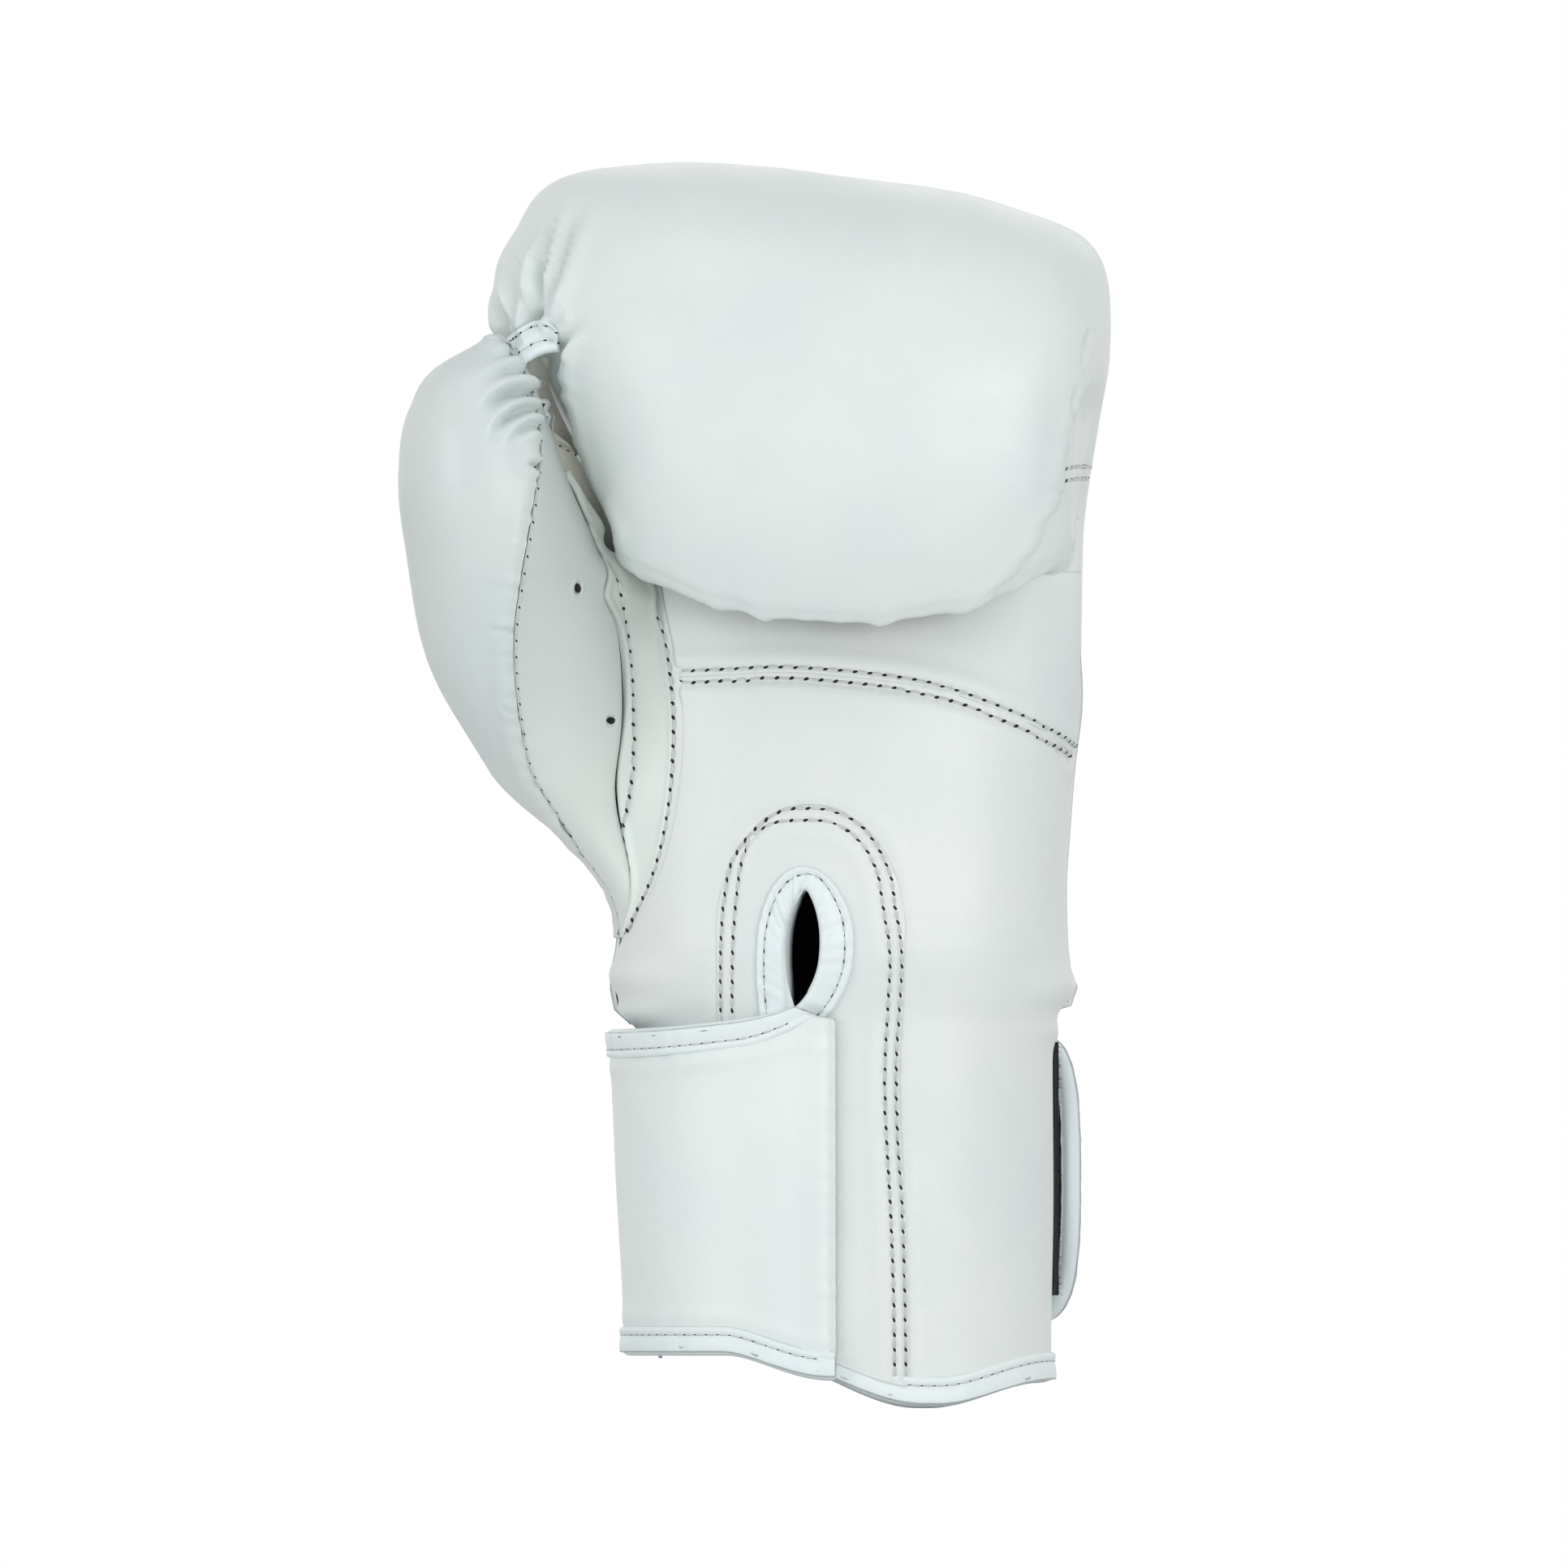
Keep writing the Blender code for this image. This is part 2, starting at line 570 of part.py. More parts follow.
def make_strap():
    lip = np.degrees(0.5 * SEAM_GAP / CUFF_HALF_WIDTH)
    seam = float(palm_angle(STRAP_SEAM_X, STRAP_FOOT))
    side = ring_angles(STRAP_BEND_ANGLE + lip, seam)
    strap_sheet("strap_panel", side, STRAP_PANEL_AT, LEATHER, white_leather())
    strap_sheet("strap_lining", side, STRAP_LINING_AT, LINING, lining_cloth())
    strap_edge("strap_upper_binding", side, at_top=True)
    strap_edge("strap_lower_binding", side, at_top=False)

    inset = BINDING + SEAT
    radius = STRAP_CORNER + inset
    turn = np.linspace(0.0, np.pi / 2, 8)
    corner_travel = radius * (1.0 - np.sin(turn))
    corner_rise = radius * (1.0 - np.cos(turn))
    # The layers bend where the binding does, so that their facets line up.
    shared = corner_travel[(corner_travel > inset + 0.3) & (corner_travel < radius - 0.1)]
    near_end = [float(strap_angle(travel)) for travel in (inset, *shared[::-1])]
    rest = ring_angles(float(strap_angle(inset + STRAP_CORNER)), STRAP_BEND_ANGLE - lip)
    end = np.concatenate([near_end, rest])
    strap_sheet("strap_end_panel", end, STRAP_PANEL_AT, LEATHER, white_leather(), STRAP_CORNER)
    strap_sheet("strap_end_lining", end, STRAP_LINING_AT, LINING, lining_cloth(), STRAP_CORNER)
    hook_top = STRAP_TOP - TAPE_INSET
    tape_layer("hook_tape", STRAP_LINING_AT - SEAT - TAPE, TAPE_OFFSET, TAPE_INSET, hook_top)

    # The end's binding runs along the foot, round both corners and back along the top.
    along = rest
    path = [(a, float(strap_foot(a)), 0.0, 1.0) for a in along[::-1]]
    foot = float(strap_foot(strap_angle(0.5 * radius)))
    path += [
        (float(strap_angle(t)), foot + r, np.sin(q), np.cos(q))
        for t, r, q in zip(corner_travel, corner_rise, turn)
    ]
    path += [
        (float(strap_angle(t)), STRAP_TOP - r, np.sin(q), -np.cos(q))
        for t, r, q in list(zip(corner_travel, corner_rise, turn))[::-1]
    ]
    path += [(a, STRAP_TOP, 0.0, -1.0) for a in along]
    outline = u_section(-STRAP_OUTER, -STRAP_INNER, STRAP_BINDING_WIDTH)
    rings = []
    for angle, z, along_strap, upward in path:
        travel = float(np.interp(angle, strap_angle(TRAVELS), TRAVELS))
        ring = []
        for depth, inward in outline:
            here = angle if along_strap == 0.0 else float(strap_angle(travel + inward * along_strap))
            ring.append(tube(here, z + inward * upward, depth))
        rings.append(ring)
    swept("strap_end_binding", np.array(rings), binding_leather())


# ---------------------------------------------------------------- curled knuckle pad


def flank_bump(turn, middle, spread):
    return np.clip(np.cos(np.radians((turn - middle) * 90.0 / spread)), 0.0, 1.0)


def pad_surfaces(across, along):
    """Outer and pocket-side points of the pad. across runs -1..1 from the thumb side, along 0..1."""
    across, along = np.broadcast_arrays(across, along)
    back = np.clip(along / BACK_SHARE, 0.0, 1.0)
    lift = HEM_LIFT * np.abs(across) ** 1.4
    turn = np.clip((along - BACK_SHARE) / (1 - BACK_SHARE), 0.0, 1.0) * (HEM_ANGLE - lift)
    curl = np.where(along < BACK_SHARE, (back - 1.0) * 90.0, turn)
    cosine, sine = np.cos(np.radians(turn)), np.sin(np.radians(turn))

    # Outer profile: up the back of the hand, then round the fist.
    wrist_to_fist = FIST_MIDDLE_Y + FIST_HALF_DEPTH - PAD_BACK_AT_WRIST
    outer_y = PAD_BACK_AT_WRIST + wrist_to_fist * np.sin(np.pi / 2 * back)
    outer_z = PAD_BOTTOM + (FIST_MIDDLE_Z - PAD_BOTTOM) * back
    on_fist = along > BACK_SHARE
    power = 2 / FIST_POWER
    outer_y = np.where(on_fist, FIST_MIDDLE_Y + FIST_HALF_DEPTH * signed_power(cosine, power), outer_y)
    outer_z = np.where(on_fist, FIST_MIDDLE_Z + FIST_HALF_HEIGHT * signed_power(sine, power), outer_z)

    # Pocket profile, which closes on the outer one at the hem.
    pocket_back = FIST_MIDDLE_Y + POCKET_HALF_DEPTH
    inner_at_wrist = PAD_BACK_AT_WRIST - PAD_AT_WRIST
    inner_y = inner_at_wrist + (pocket_back - inner_at_wrist) * np.sin(np.pi / 2 * back)
    inner_z = PAD_BOTTOM + (POCKET_MIDDLE_Z - PAD_BOTTOM) * back
    inner_y = np.where(on_fist, FIST_MIDDLE_Y + POCKET_HALF_DEPTH * cosine, inner_y)
    inner_z = np.where(on_fist, POCKET_MIDDLE_Z + POCKET_HALF_HEIGHT * sine, inner_z)
    reach = np.hypot(inner_y - outer_y, inner_z - outer_z)
    closing = smooth(turn, HEM_ANGLE - 70.0, HEM_ANGLE - 5.0) * (1.0 - HEM_THICKNESS / reach)
    inner_y = inner_y + (outer_y - inner_y) * closing
    inner_z = inner_z + (outer_z - inner_z) * closing

    # Core line, about which the flanks fan out.
    from_core = np.hypot(outer_y - CORE_Y, outer_z - CORE_Z)
    ring_y = CORE_Y + CORE_RADIUS * (outer_y - CORE_Y) / from_core
    ring_z = CORE_Z + CORE_RADIUS * (outer_z - CORE_Z) / from_core
    line_z = PAD_BOTTOM + (CORE_Z - PAD_BOTTOM) * back
    blend = smooth(back, 0.8, 1.0)
    core_y = core_height(line_z) * (1 - blend) + ring_y * blend
    core_z = line_z * (1 - blend) + ring_z * blend

    # Crosswise shape: a superellipse quarter to the widest point, then inward to the core.
    thumb_side = across < 0
    edge_half = tube_half_width(core_z, thumb_side)
    bulge = np.where(thumb_side, FLANK_BULGE_THUMB, FLANK_BULGE_LITTLE)
    wide_half = edge_half + bulge * flank_bump(curl, WIDEST_CURL, 110.0) ** 1.8
    fold = FOLD_HEIGHT * flank_bump(curl, TOP_CURL, 145.0)
    split = 1.0 - 0.4 * fold
    quarter = np.clip(np.abs(across) / split, 0.0, 1.0) * np.pi / 2
    tuck = np.clip((np.abs(across) - split) / np.maximum(1.0 - split, 1e-6), 0.0, 1.0)
    square = np.where(thumb_side, CROWN_SQUARE_THUMB, CROWN_SQUARE_LITTLE)
    power = 2 / (TUBE_POWER + square * flank_bump(curl, TOP_CURL, 120.0))
    side = signed_power(np.sin(quarter), power)
    rise = signed_power(np.cos(quarter), power)
    height = np.where(tuck > 0, fold * (1 - tuck), fold + (1 - fold) * rise)
    pinch = smooth(tuck, 0.0, 1.0)

    surfaces = []
    flank = PAD_AT_WRIST + (FLANK_PAD - PAD_AT_WRIST) * smooth(curl, -60.0, 0.0)
    deep = flank + FLANK_SWELL * flank_bump(curl, TOP_CURL, 100.0)
    for y, z, wide, edge in (
        (outer_y, outer_z, wide_half, edge_half),
        (inner_y, inner_z, wide_half - deep, edge_half - flank),
    ):
        half = np.where(tuck > 0, wide + (edge - wide) * pinch, wide * side)
        x = half * np.sign(across)
        point_y = core_y + (y - core_y) * height
        point_z = core_z + (z - core_z) * height
        slant = flank_bump(curl, TOP_CURL, 95.0) * height
        point_z = point_z - CROWN_SLOPE * (x - CROWN_CREST_X) * slant
        surfaces.append(xyz(x, point_y, point_z))
    return surfaces


def pad_layer(name, start, end, surface, hem_margin=0):
    """A layer of the pad between two depths, each a function of the pad's thickness."""
    across = np.linspace(-PAD_EDGE, PAD_EDGE, PAD_COLUMNS)
    along = np.linspace(0.0, 1.0, PAD_ROWS)[: PAD_ROWS - hem_margin]
    outer, inner = pad_surfaces(across[None, :], along[:, None])
    thickness = np.linalg.norm(inner - outer, axis=-1, keepdims=True)
    step = (inner - outer) / thickness
    outside = outer + step * start(thickness)
    inside = outer + step * end(thickness)
    return layer(name, outside, inside, surface)


def make_pad():
    skin, cloth, layers = LEATHER, LINING, 3
    names = ("outer_foam", "middle_foam", "inner_foam")
    pad_layer("knuckle_cover", lambda t: 0 * t, lambda t: 0 * t + skin, white_leather())
    for number, name in enumerate(names):

        def start(t, number=number):
            share = (t - skin - cloth - SEAT * (layers + 1)) / layers
            return skin + SEAT + number * (share + SEAT)

        def end(t, start=start):
            share = (t - skin - cloth - SEAT * (layers + 1)) / layers
            return start(t) + share

        pad_layer(name, start, end, foam(), hem_margin=1)
    pad_layer("finger_lining", lambda t: t - cloth, lambda t: t, lining_cloth())


def make_grip_bar():
    """A foam roll across the palm, curved with its wall, which the curled fingers hold."""
    turns = 16
    z = PALM_TOP - GRIP_RADIUS
    turn = np.linspace(0.0, 2 * np.pi, turns + 1)[:-1]
    rings = []
    for share in np.linspace(-1.0, 1.0, 13):
        x = GRIP_HALF_LENGTH * share
        wall = float(tube(palm_angle(x, z), z, PALM_WALL)[1])
        radius = GRIP_RADIUS * np.sqrt(1.0 - 0.86 * share**GRIP_FULLNESS)
        middle = wall + GRIP_RADIUS + GRIP_SEAT
        rings.append(xyz(x, middle + radius * np.cos(turn), z + radius * np.sin(turn)))
    swept("grip_bar", np.array(rings), foam())


# ---------------------------------------------------------------- thumb

THUMB_OUTER_X = [(THUMB_FOOT, -55.5), (125, -63.8), (133, -70.0), (142, -76.8), (152, -83.4)]
THUMB_OUTER_X += [(174, -97.6), (206, -105.2), (225, -107.0), (240, -104.5), (250, -98.0)]
THUMB_OUTER_X += [(THUMB_TOP, -86.5)]
THUMB_FOLD_X = [(THUMB_FOOT, -54.5), (134, -55.6), (152, -54.3), (170, -52.3), (186, -53.5)]
THUMB_FOLD_X += [(206, -59.5), (225, -67.0), (240, -72.0), (250, -76.0), (THUMB_TOP, -81.5)]
THUMB_MIDDLE_Y = [(THUMB_FOOT, -8.0), (150, -17.0), (186, -28.0), (225, -37.0), (THUMB_TOP, -40.0)]
THUMB_HALF_DEPTH = [(THUMB_FOOT, 4.0), (141, 14.0), (162, 21.0), (186, 24.0), (225, 21.5)]
THUMB_HALF_DEPTH += [(240, 17.5), (250, 12.0), (THUMB_TOP, 3.0)]
# Where the long seam lies, as a share of the way from the back of the hand round to the palm.
THUMB_SEAM_SHARE = [(THUMB_FOOT, 0.36), (132, 0.40), (142, 0.48), (152, 0.552), (164, 0.583)]
THUMB_SEAM_SHARE += [(176, 0.608), (188, 0.633), (197, 0.70), (208, 0.78), (221, 0.84)]
THUMB_SEAM_SHARE += [(230, 0.86), (THUMB_TOP, 0.87)]


def thumb_surface(around, z):
    """A point of the thumb. around runs 0..1 from the hand's side seam round to the palm's edge."""
    around, z = np.broadcast_arrays(np.asarray(around, float), np.asarray(z, float))
    free = smooth(z, GUSSET_TOP - 8.0, GUSSET_TOP + 14.0)
    start = 52.0 * (1 - free) + 3.0 * free
    finish = 345.0 * (1 - free) + 357.0 * free
    share = around * free + np.clip(around / FOLD_SHARE, 0.0, 1.0) * (1 - free)
    angle = np.radians(start + (finish - start) * share)
    left, right = through(z, THUMB_OUTER_X), through(z, THUMB_FOLD_X)
    middle_y = through(z, THUMB_MIDDLE_Y)
    half_depth = through(z, THUMB_HALF_DEPTH)
    ring = xyz(
        (left + right) / 2 + (right - left) / 2 * np.cos(angle),
        middle_y + half_depth * np.sin(angle),
        z,
    )
    side_seam = 180.0 + SIDE_LIP
    palm = palm_edge(z) - np.degrees(GUSSET_GAP / CUFF_HALF_WIDTH)
    wall = tube(side_seam + (palm - side_seam) * around, z)
    swell = smooth(z, THUMB_FOOT - 6.0, THUMB_FOOT + 40.0)
    window = smooth(around, 0.0, 0.14) * (1.0 - smooth(around, FOLD_SHARE, 1.0))
    share = (swell * (window * (1 - free) + free))[..., None]
    return wall * (1 - share) + ring * share


def thumb_layer(name, around, heights, depth, thickness, surface):
    """A layer under the thumb's surface; depth and thickness may vary over the grid."""
    around, heights = np.broadcast_arrays(around, heights)
    point = thumb_surface(around, heights)
    beside = thumb_surface(around + 0.001, heights) - thumb_surface(around - 0.001, heights)
    above = thumb_surface(around, heights + 0.5) - thumb_surface(around, heights - 0.5)
    inward = np.cross(above, beside)
    inward /= np.linalg.norm(inward, axis=-1, keepdims=True)
    depth = np.broadcast_to(depth, heights.shape)[..., None]
    thickness = np.broadcast_to(thickness, heights.shape)[..., None]
    return layer(name, point + inward * depth, point + inward * (depth + thickness), surface)


def thumb_rows(low, high):
    """Heights of the thumb's shared rows from low to high, closer together toward the tip."""
    share = np.linspace(0.0, 1.0, THUMB_ROWS)
    heights = THUMB_FOOT + (THUMB_TOP - THUMB_FOOT) * (1.0 - (1.0 - share) ** 1.5)
    return heights[(heights > low - 0.01) & (heights < high + 0.01)][:, None]


def make_thumb():
    gap = THUMB_SEAM
    whole = thumb_rows(THUMB_FOOT, THUMB_TOP)
    seam = through(whole, THUMB_SEAM_SHARE)
    cover = gap + (seam - 2 * gap) * np.linspace(0.0, 1.0, 23)[None, :]
    thumb_layer("thumb_cover", cover, whole, 0.0, LEATHER, white_leather())

    # Above the gusset the inner panel reaches right round to the cover's other edge.
    reach = FOLD_SHARE + (1.0 - FOLD_SHARE) * smooth(whole, GUSSET_TOP - 2.0, GUSSET_TOP + 14.0) - gap
    share = np.linspace(0.0, 1.0, 7)[None, :]
    panel = seam + gap + (reach - seam - gap) * share
    thumb_layer("thumb_inner_panel", panel, whole, 0.0, LEATHER, grey_leather())

    beside_palm = np.linspace(FOLD_SHARE + gap, 1.0 - gap, 5)[None, :]
    strip = thumb_rows(THUMB_FOOT, GUSSET_TOP)
    thumb_layer("thumb_gusset", beside_palm, strip, 0.0, LEATHER, white_leather())

    inside = thumb_rows(THUMB_FOAM_FOOT, THUMB_FOAM_TOP)
    padded = np.linspace(0.1, THUMB_PAD_SHARE - 0.03, 9)[None, :]
    thumb_layer("thumb_foam", padded, inside, LEATHER + THUMB_SEAT, foam_thickness(padded), foam())
    lined = np.linspace(0.1, FOLD_SHARE - 0.03, 13)[None, :]
    under = LEATHER + THUMB_SEAT + (foam_thickness(lined) + SEAT) * (foam_thickness(lined) > 0)
    thumb_layer("thumb_lining", lined, inside, under, LINING, lining_cloth())


def foam_thickness(around):
    """The thumb's padding is fullest on its outer side and runs out under the inner panel."""
    rise = smooth(around, -0.02, 0.3) * (1.0 - smooth(around, 0.4, THUMB_PAD_SHARE + 0.02))
    return THUMB_FOAM * rise


def flank_x(y, z):
    """Where the fist's thumb-side flank lies across, at each given y and z."""
    across = -np.linspace(0.72, PAD_EDGE, 80)[None, :]
    along = np.linspace(BACK_SHARE, 1.0, 240)[:, None]
    outer = pad_surfaces(across, along)[0].reshape(-1, 3)
    off = (outer[None, :, 1] - y[:, None]) ** 2 + (outer[None, :, 2] - z[:, None]) ** 2
    return outer[np.argmin(off, axis=1), 0]


def make_thumb_web():
    """The strip of leather that closes the gap between the thumb and the fist."""
    z = np.linspace(WEB_FOOT, WEB_TOP, 8)
    on_thumb = thumb_surface(WEB_ON_THUMB, z)
    y = on_thumb[:, 1]
    start = on_thumb[:, 0] + WEB_SEAT
    end = flank_x(y - LEATHER / 2, z) - WEB_FLANK_GAP
    x = start + (end - start) * np.linspace(0.0, 1.0, 3)[:, None]
    layer("thumb_web", xyz(x, y - LEATHER, z), xyz(x, y, z), white_leather())


def make_thumb_lock():
    """The short sewn tab that ties the thumb's tip to the fist."""
    rows, columns = 4, 6
    on_thumb = thumb_surface(LOCK_ON_THUMB, np.linspace(LOCK_FOOT, LOCK_FOOT + LOCK_WIDTH, rows))
    on_fist = pad_surfaces(LOCK_ON_FIST, np.linspace(LOCK_FIST_FOOT, LOCK_FIST_TOP, rows))[0]
    share = np.linspace(0.0, 1.0, columns)[None, :, None]
    middle = on_thumb[:, None, :] * (1 - share) + on_fist[:, None, :] * share
    outward = np.array([0.0, -1.0, 0.0])
    inside = middle + outward * LOCK_SEAT
    outside = inside + outward * LOCK_THICKNESS
    layer("thumb_lock", outside, inside, white_leather())


def hinge(name, place, children, parent=None):
    """An empty on a hinge's axis, which carries the pieces that turn about it."""
    empty = bpy.data.objects.new(name, None)
    bpy.context.scene.collection.objects.link(empty)
    empty.empty_display_size = 0.02
    world = Vector(place) * MM
    empty.location = world - (parent.location if parent else Vector())
    empty.parent = parent
    for child in children:
        piece = bpy.data.objects[child]
        piece.parent = empty
        piece.location = -world
    return empty


def main():
    for obj in list(bpy.data.objects):
        bpy.data.objects.remove(obj, do_unlink=True)
    cutter = slit_cutter()
    make_palm(cutter)
    make_slit_trim(cutter)
    make_cuff()
    make_pad()
    make_grip_bar()
    make_thumb()
    make_thumb_web()
    make_thumb_lock()
    make_strap()
    seam = float(palm_angle(STRAP_SEAM_X, STRAP_FOOT))
    middle_z = (STRAP_FOOT + STRAP_TOP) / 2
    strap = ("strap_panel", "strap_lining", "strap_upper_binding", "strap_lower_binding")
    end = ("strap_end_panel", "strap_end_lining", "strap_end_binding", "hook_tape")
    swing = hinge("strap_swing_axis", tube(seam, middle_z, -STRAP_INNER), strap)
    # The cuff widens upward, so an axis clear of the strap's outer face is clear of it at the top.
    bend = tube(STRAP_BEND_ANGLE, STRAP_TOP, -STRAP_OUTER)
    hinge("strap_peel_axis", xyz(bend[0], bend[1], middle_z), end, swing)


main()
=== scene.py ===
import bmesh
import bpy
import numpy as np
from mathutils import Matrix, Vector
from mathutils.bvhtree import BVHTree


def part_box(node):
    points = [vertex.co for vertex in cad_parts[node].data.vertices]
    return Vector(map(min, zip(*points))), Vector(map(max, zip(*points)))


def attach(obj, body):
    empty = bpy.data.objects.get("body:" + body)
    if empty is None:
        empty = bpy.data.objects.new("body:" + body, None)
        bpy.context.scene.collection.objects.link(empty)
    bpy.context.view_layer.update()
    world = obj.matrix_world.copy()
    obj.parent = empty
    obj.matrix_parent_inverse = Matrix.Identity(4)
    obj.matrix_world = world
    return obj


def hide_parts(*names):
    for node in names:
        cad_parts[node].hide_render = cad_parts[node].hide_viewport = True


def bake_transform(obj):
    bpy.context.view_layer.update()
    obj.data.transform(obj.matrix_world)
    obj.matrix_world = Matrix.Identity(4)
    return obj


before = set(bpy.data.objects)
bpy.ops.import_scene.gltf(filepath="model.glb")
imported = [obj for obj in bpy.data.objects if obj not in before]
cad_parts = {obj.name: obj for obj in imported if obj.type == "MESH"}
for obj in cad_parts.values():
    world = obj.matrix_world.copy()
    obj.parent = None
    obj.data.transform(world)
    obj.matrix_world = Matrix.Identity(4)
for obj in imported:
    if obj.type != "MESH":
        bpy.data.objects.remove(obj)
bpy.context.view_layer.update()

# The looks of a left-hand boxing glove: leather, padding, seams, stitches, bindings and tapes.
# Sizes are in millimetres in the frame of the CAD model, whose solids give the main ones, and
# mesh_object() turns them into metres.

MM = 0.001


def corners(node):
    """Lowest and highest corner of a CAD node, in millimetres."""
    low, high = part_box(node)
    return np.array(low) / MM, np.array(high) / MM


# --- sizes

LEATHER = 1.4
LINING = 1.0
BINDING = 1.0
TAPE = 1.2
SEAT = 0.4

CUFF_HALF_WIDTH = corners("cuff_back_panel")[1][0]
CUFF_HALF_DEPTH = corners("cuff_back_panel")[1][1]
CUFF_TOP = corners("cuff_back_panel")[1][2]
CUFF_EDGE_RISE = 13.0
CUFF_EDGE_LIFT = 6.0
CUFF_FOAM = 4.5
CUFF_BINDING_WIDTH = 8.0
CUFF_FLARE = 20.0

HAND_HALF_WIDTH_THUMB = 56.0
HAND_HALF_WIDTH_LITTLE = 58.4
HAND_SPREAD_THUMB = 1.5
HAND_SPREAD_LITTLE = 4.6
WRIST_ROLL = 1.8
WRIST_ROLL_AT = 99.0
WRIST_ROLL_SPREAD = 8.0
CUFF_THUMB_INSET = 1.2
CUFF_TAPER = 4.4
HAND_PALM_DEPTH = 40.0
PALM_TUCK = 8.0
PALM_TOP = corners("palm_upper_panel")[1][2]
PALM_FOAM = 3.0
GRIP_RADIUS = 8.0
GRIP_HALF_LENGTH = corners("grip_bar")[1][0]
TUBE_POWER = 2.4

PAD_BOTTOM = corners("knuckle_cover")[0][2]
PAD_BACK_AT_WRIST = 40.0
FIST_MIDDLE_Y = -7.0
FIST_MIDDLE_Z = 235.0
FIST_HALF_DEPTH = 61.0
FIST_HALF_HEIGHT = 64.8
FIST_POWER = 2.4
POCKET_MIDDLE_Z = 227.0
POCKET_HALF_DEPTH = 27.0
POCKET_HALF_HEIGHT = 29.0
PAD_AT_WRIST = 8.0
HEM_THICKNESS = 6.0
HEM_ANGLE = 225.0
HEM_LIFT = 26.0
CORE_Y = -18.0
CORE_START = FIST_MIDDLE_Z - 85.0
PALM_TUCK_START = FIST_MIDDLE_Z - 75.0
SPREAD_FOOT = CUFF_TOP + 8.0
CORE_Z = 204.0
SPREAD_TOP = CORE_Z - 19.0
CORE_RADIUS = 4.0
FLANK_BULGE_THUMB = 28.5
FLANK_BULGE_LITTLE = 5.8
CROWN_SQUARE_THUMB = 0.35
CROWN_SQUARE_LITTLE = 2.2
CROWN_SLOPE = 0.13
CROWN_CREST_X = -28.0
FLANK_PAD = 12.0
FLANK_SWELL = 8.0
WIDEST_CURL = 82.0
TOP_CURL = 90.0
BULGE_SPREAD = 110.0
FOLD_SPREAD = 145.0
SQUARE_SPREAD = 120.0
SWELL_SPREAD = 100.0
SLOPE_SPREAD = 95.0
FOLD_HEIGHT = 0.56
PAD_EDGE = 0.996
BACK_SHARE = 0.36

SLIT_X = -9.3
SLIT_TOP = 124.5
SLIT_FOOT = 96.5
FACING_SEAT = 0.6
FACING_THICKNESS = 1.0

THUMB_FOOT = corners("thumb_cover")[0][2]
THUMB_TOP = corners("thumb_cover")[1][2]
THUMB_FOAM = 7.0
THUMB_FOAM_FOOT = 158.0
THUMB_FOAM_TOP = 242.0
FOLD_SHARE = 0.86
GUSSET_TOP = 193.0
GUSSET_GAP = 1.0

STRAP_SEAM_X = -1.5
STRAP_FOOT = 12.6
STRAP_SEAM_DIP = 6.0
STRAP_END_RISE = 7.0
STRAP_TOP = corners("strap_upper_binding")[1][2]
STRAP_BINDING_WIDTH = 7.0
STRAP_BEND_ANGLE = 126.0
STRAP_END_ANGLE = 8.0
STRAP_CORNER = 22.0
TAPE_INSET = 9.5
TAPE_LENGTH = 90.0
TAPE_OFFSET = 16.0
LOOP_REACH = 5.5
LOOP_TOP = 88.0
LOOP_INSET = 7.5
STRAP_SEAT = 0.8
STRAP_INNER = FACING_SEAT + FACING_THICKNESS + STRAP_SEAT
STRAP_LINING_AT = STRAP_INNER + BINDING + SEAT
STRAP_PANEL_AT = STRAP_LINING_AT + LINING + SEAT
WALL = LEATHER + SEAT + CUFF_FOAM + SEAT + LINING
PALM_WALL = LEATHER + SEAT + PALM_FOAM + SEAT + LINING
SIDE_LIP = 0.8


# --- numbers and curves


def full_turn(count):
    """Angles evenly spaced round a circle."""
    return np.linspace(0.0, 2 * np.pi, count + 1)[:-1]


def smooth(value, start, end):
    """0 below start, 1 above end, and an even S between."""
    t = np.clip((value - start) / (end - start), 0.0, 1.0)
    return t * t * (3.0 - 2.0 * t)


def through(value, knots):
    """A smooth curve through (position, value) knots."""
    x = np.array([knot[0] for knot in knots], float)
    y = np.array([knot[1] for knot in knots], float)
    slope = np.gradient(y, x)
    value = np.clip(np.asarray(value, float), x[0], x[-1])
    i = np.clip(np.searchsorted(x, value) - 1, 0, len(x) - 2)
    width = x[i + 1] - x[i]
    t = (value - x[i]) / width
    rise = (1 - t) ** 2 * (1 + 2 * t) * y[i] + t * t * (3 - 2 * t) * y[i + 1]
    return rise + width * t * (1 - t) * ((1 - t) * slope[i] - t * slope[i + 1])


def signed_power(value, power):
    return np.sign(value) * np.abs(value) ** power


def xyz(x, y, z):
    return np.stack(np.broadcast_arrays(x, y, z), axis=-1)


def unit(vectors):
    return vectors / np.maximum(np.linalg.norm(vectors, axis=-1, keepdims=True), 1e-9)


def spans(*parts):
    """Places along a line whose parts, (start, end, count) each, join end to start."""
    return np.concatenate([np.linspace(*part)[:-1] for part in parts[:-1]] + [np.linspace(*parts[-1])])


def down(start, end, count):
    """Evenly spaced numbers, one for each row of a grid."""
    return np.linspace(start, end, count)[:, None]


def sideways(start, end, count):
    """Evenly spaced numbers, one for each column of a grid."""
    return np.linspace(start, end, count)[None, :]


def bell(value, middle, width):
    return np.exp(-(((value - middle) / width) ** 2))


def bells(value, *bumps):
    """The sum of several bells: (height, middle, width) each."""
    return sum(height * bell(value, middle, width) for height, middle, width in bumps)


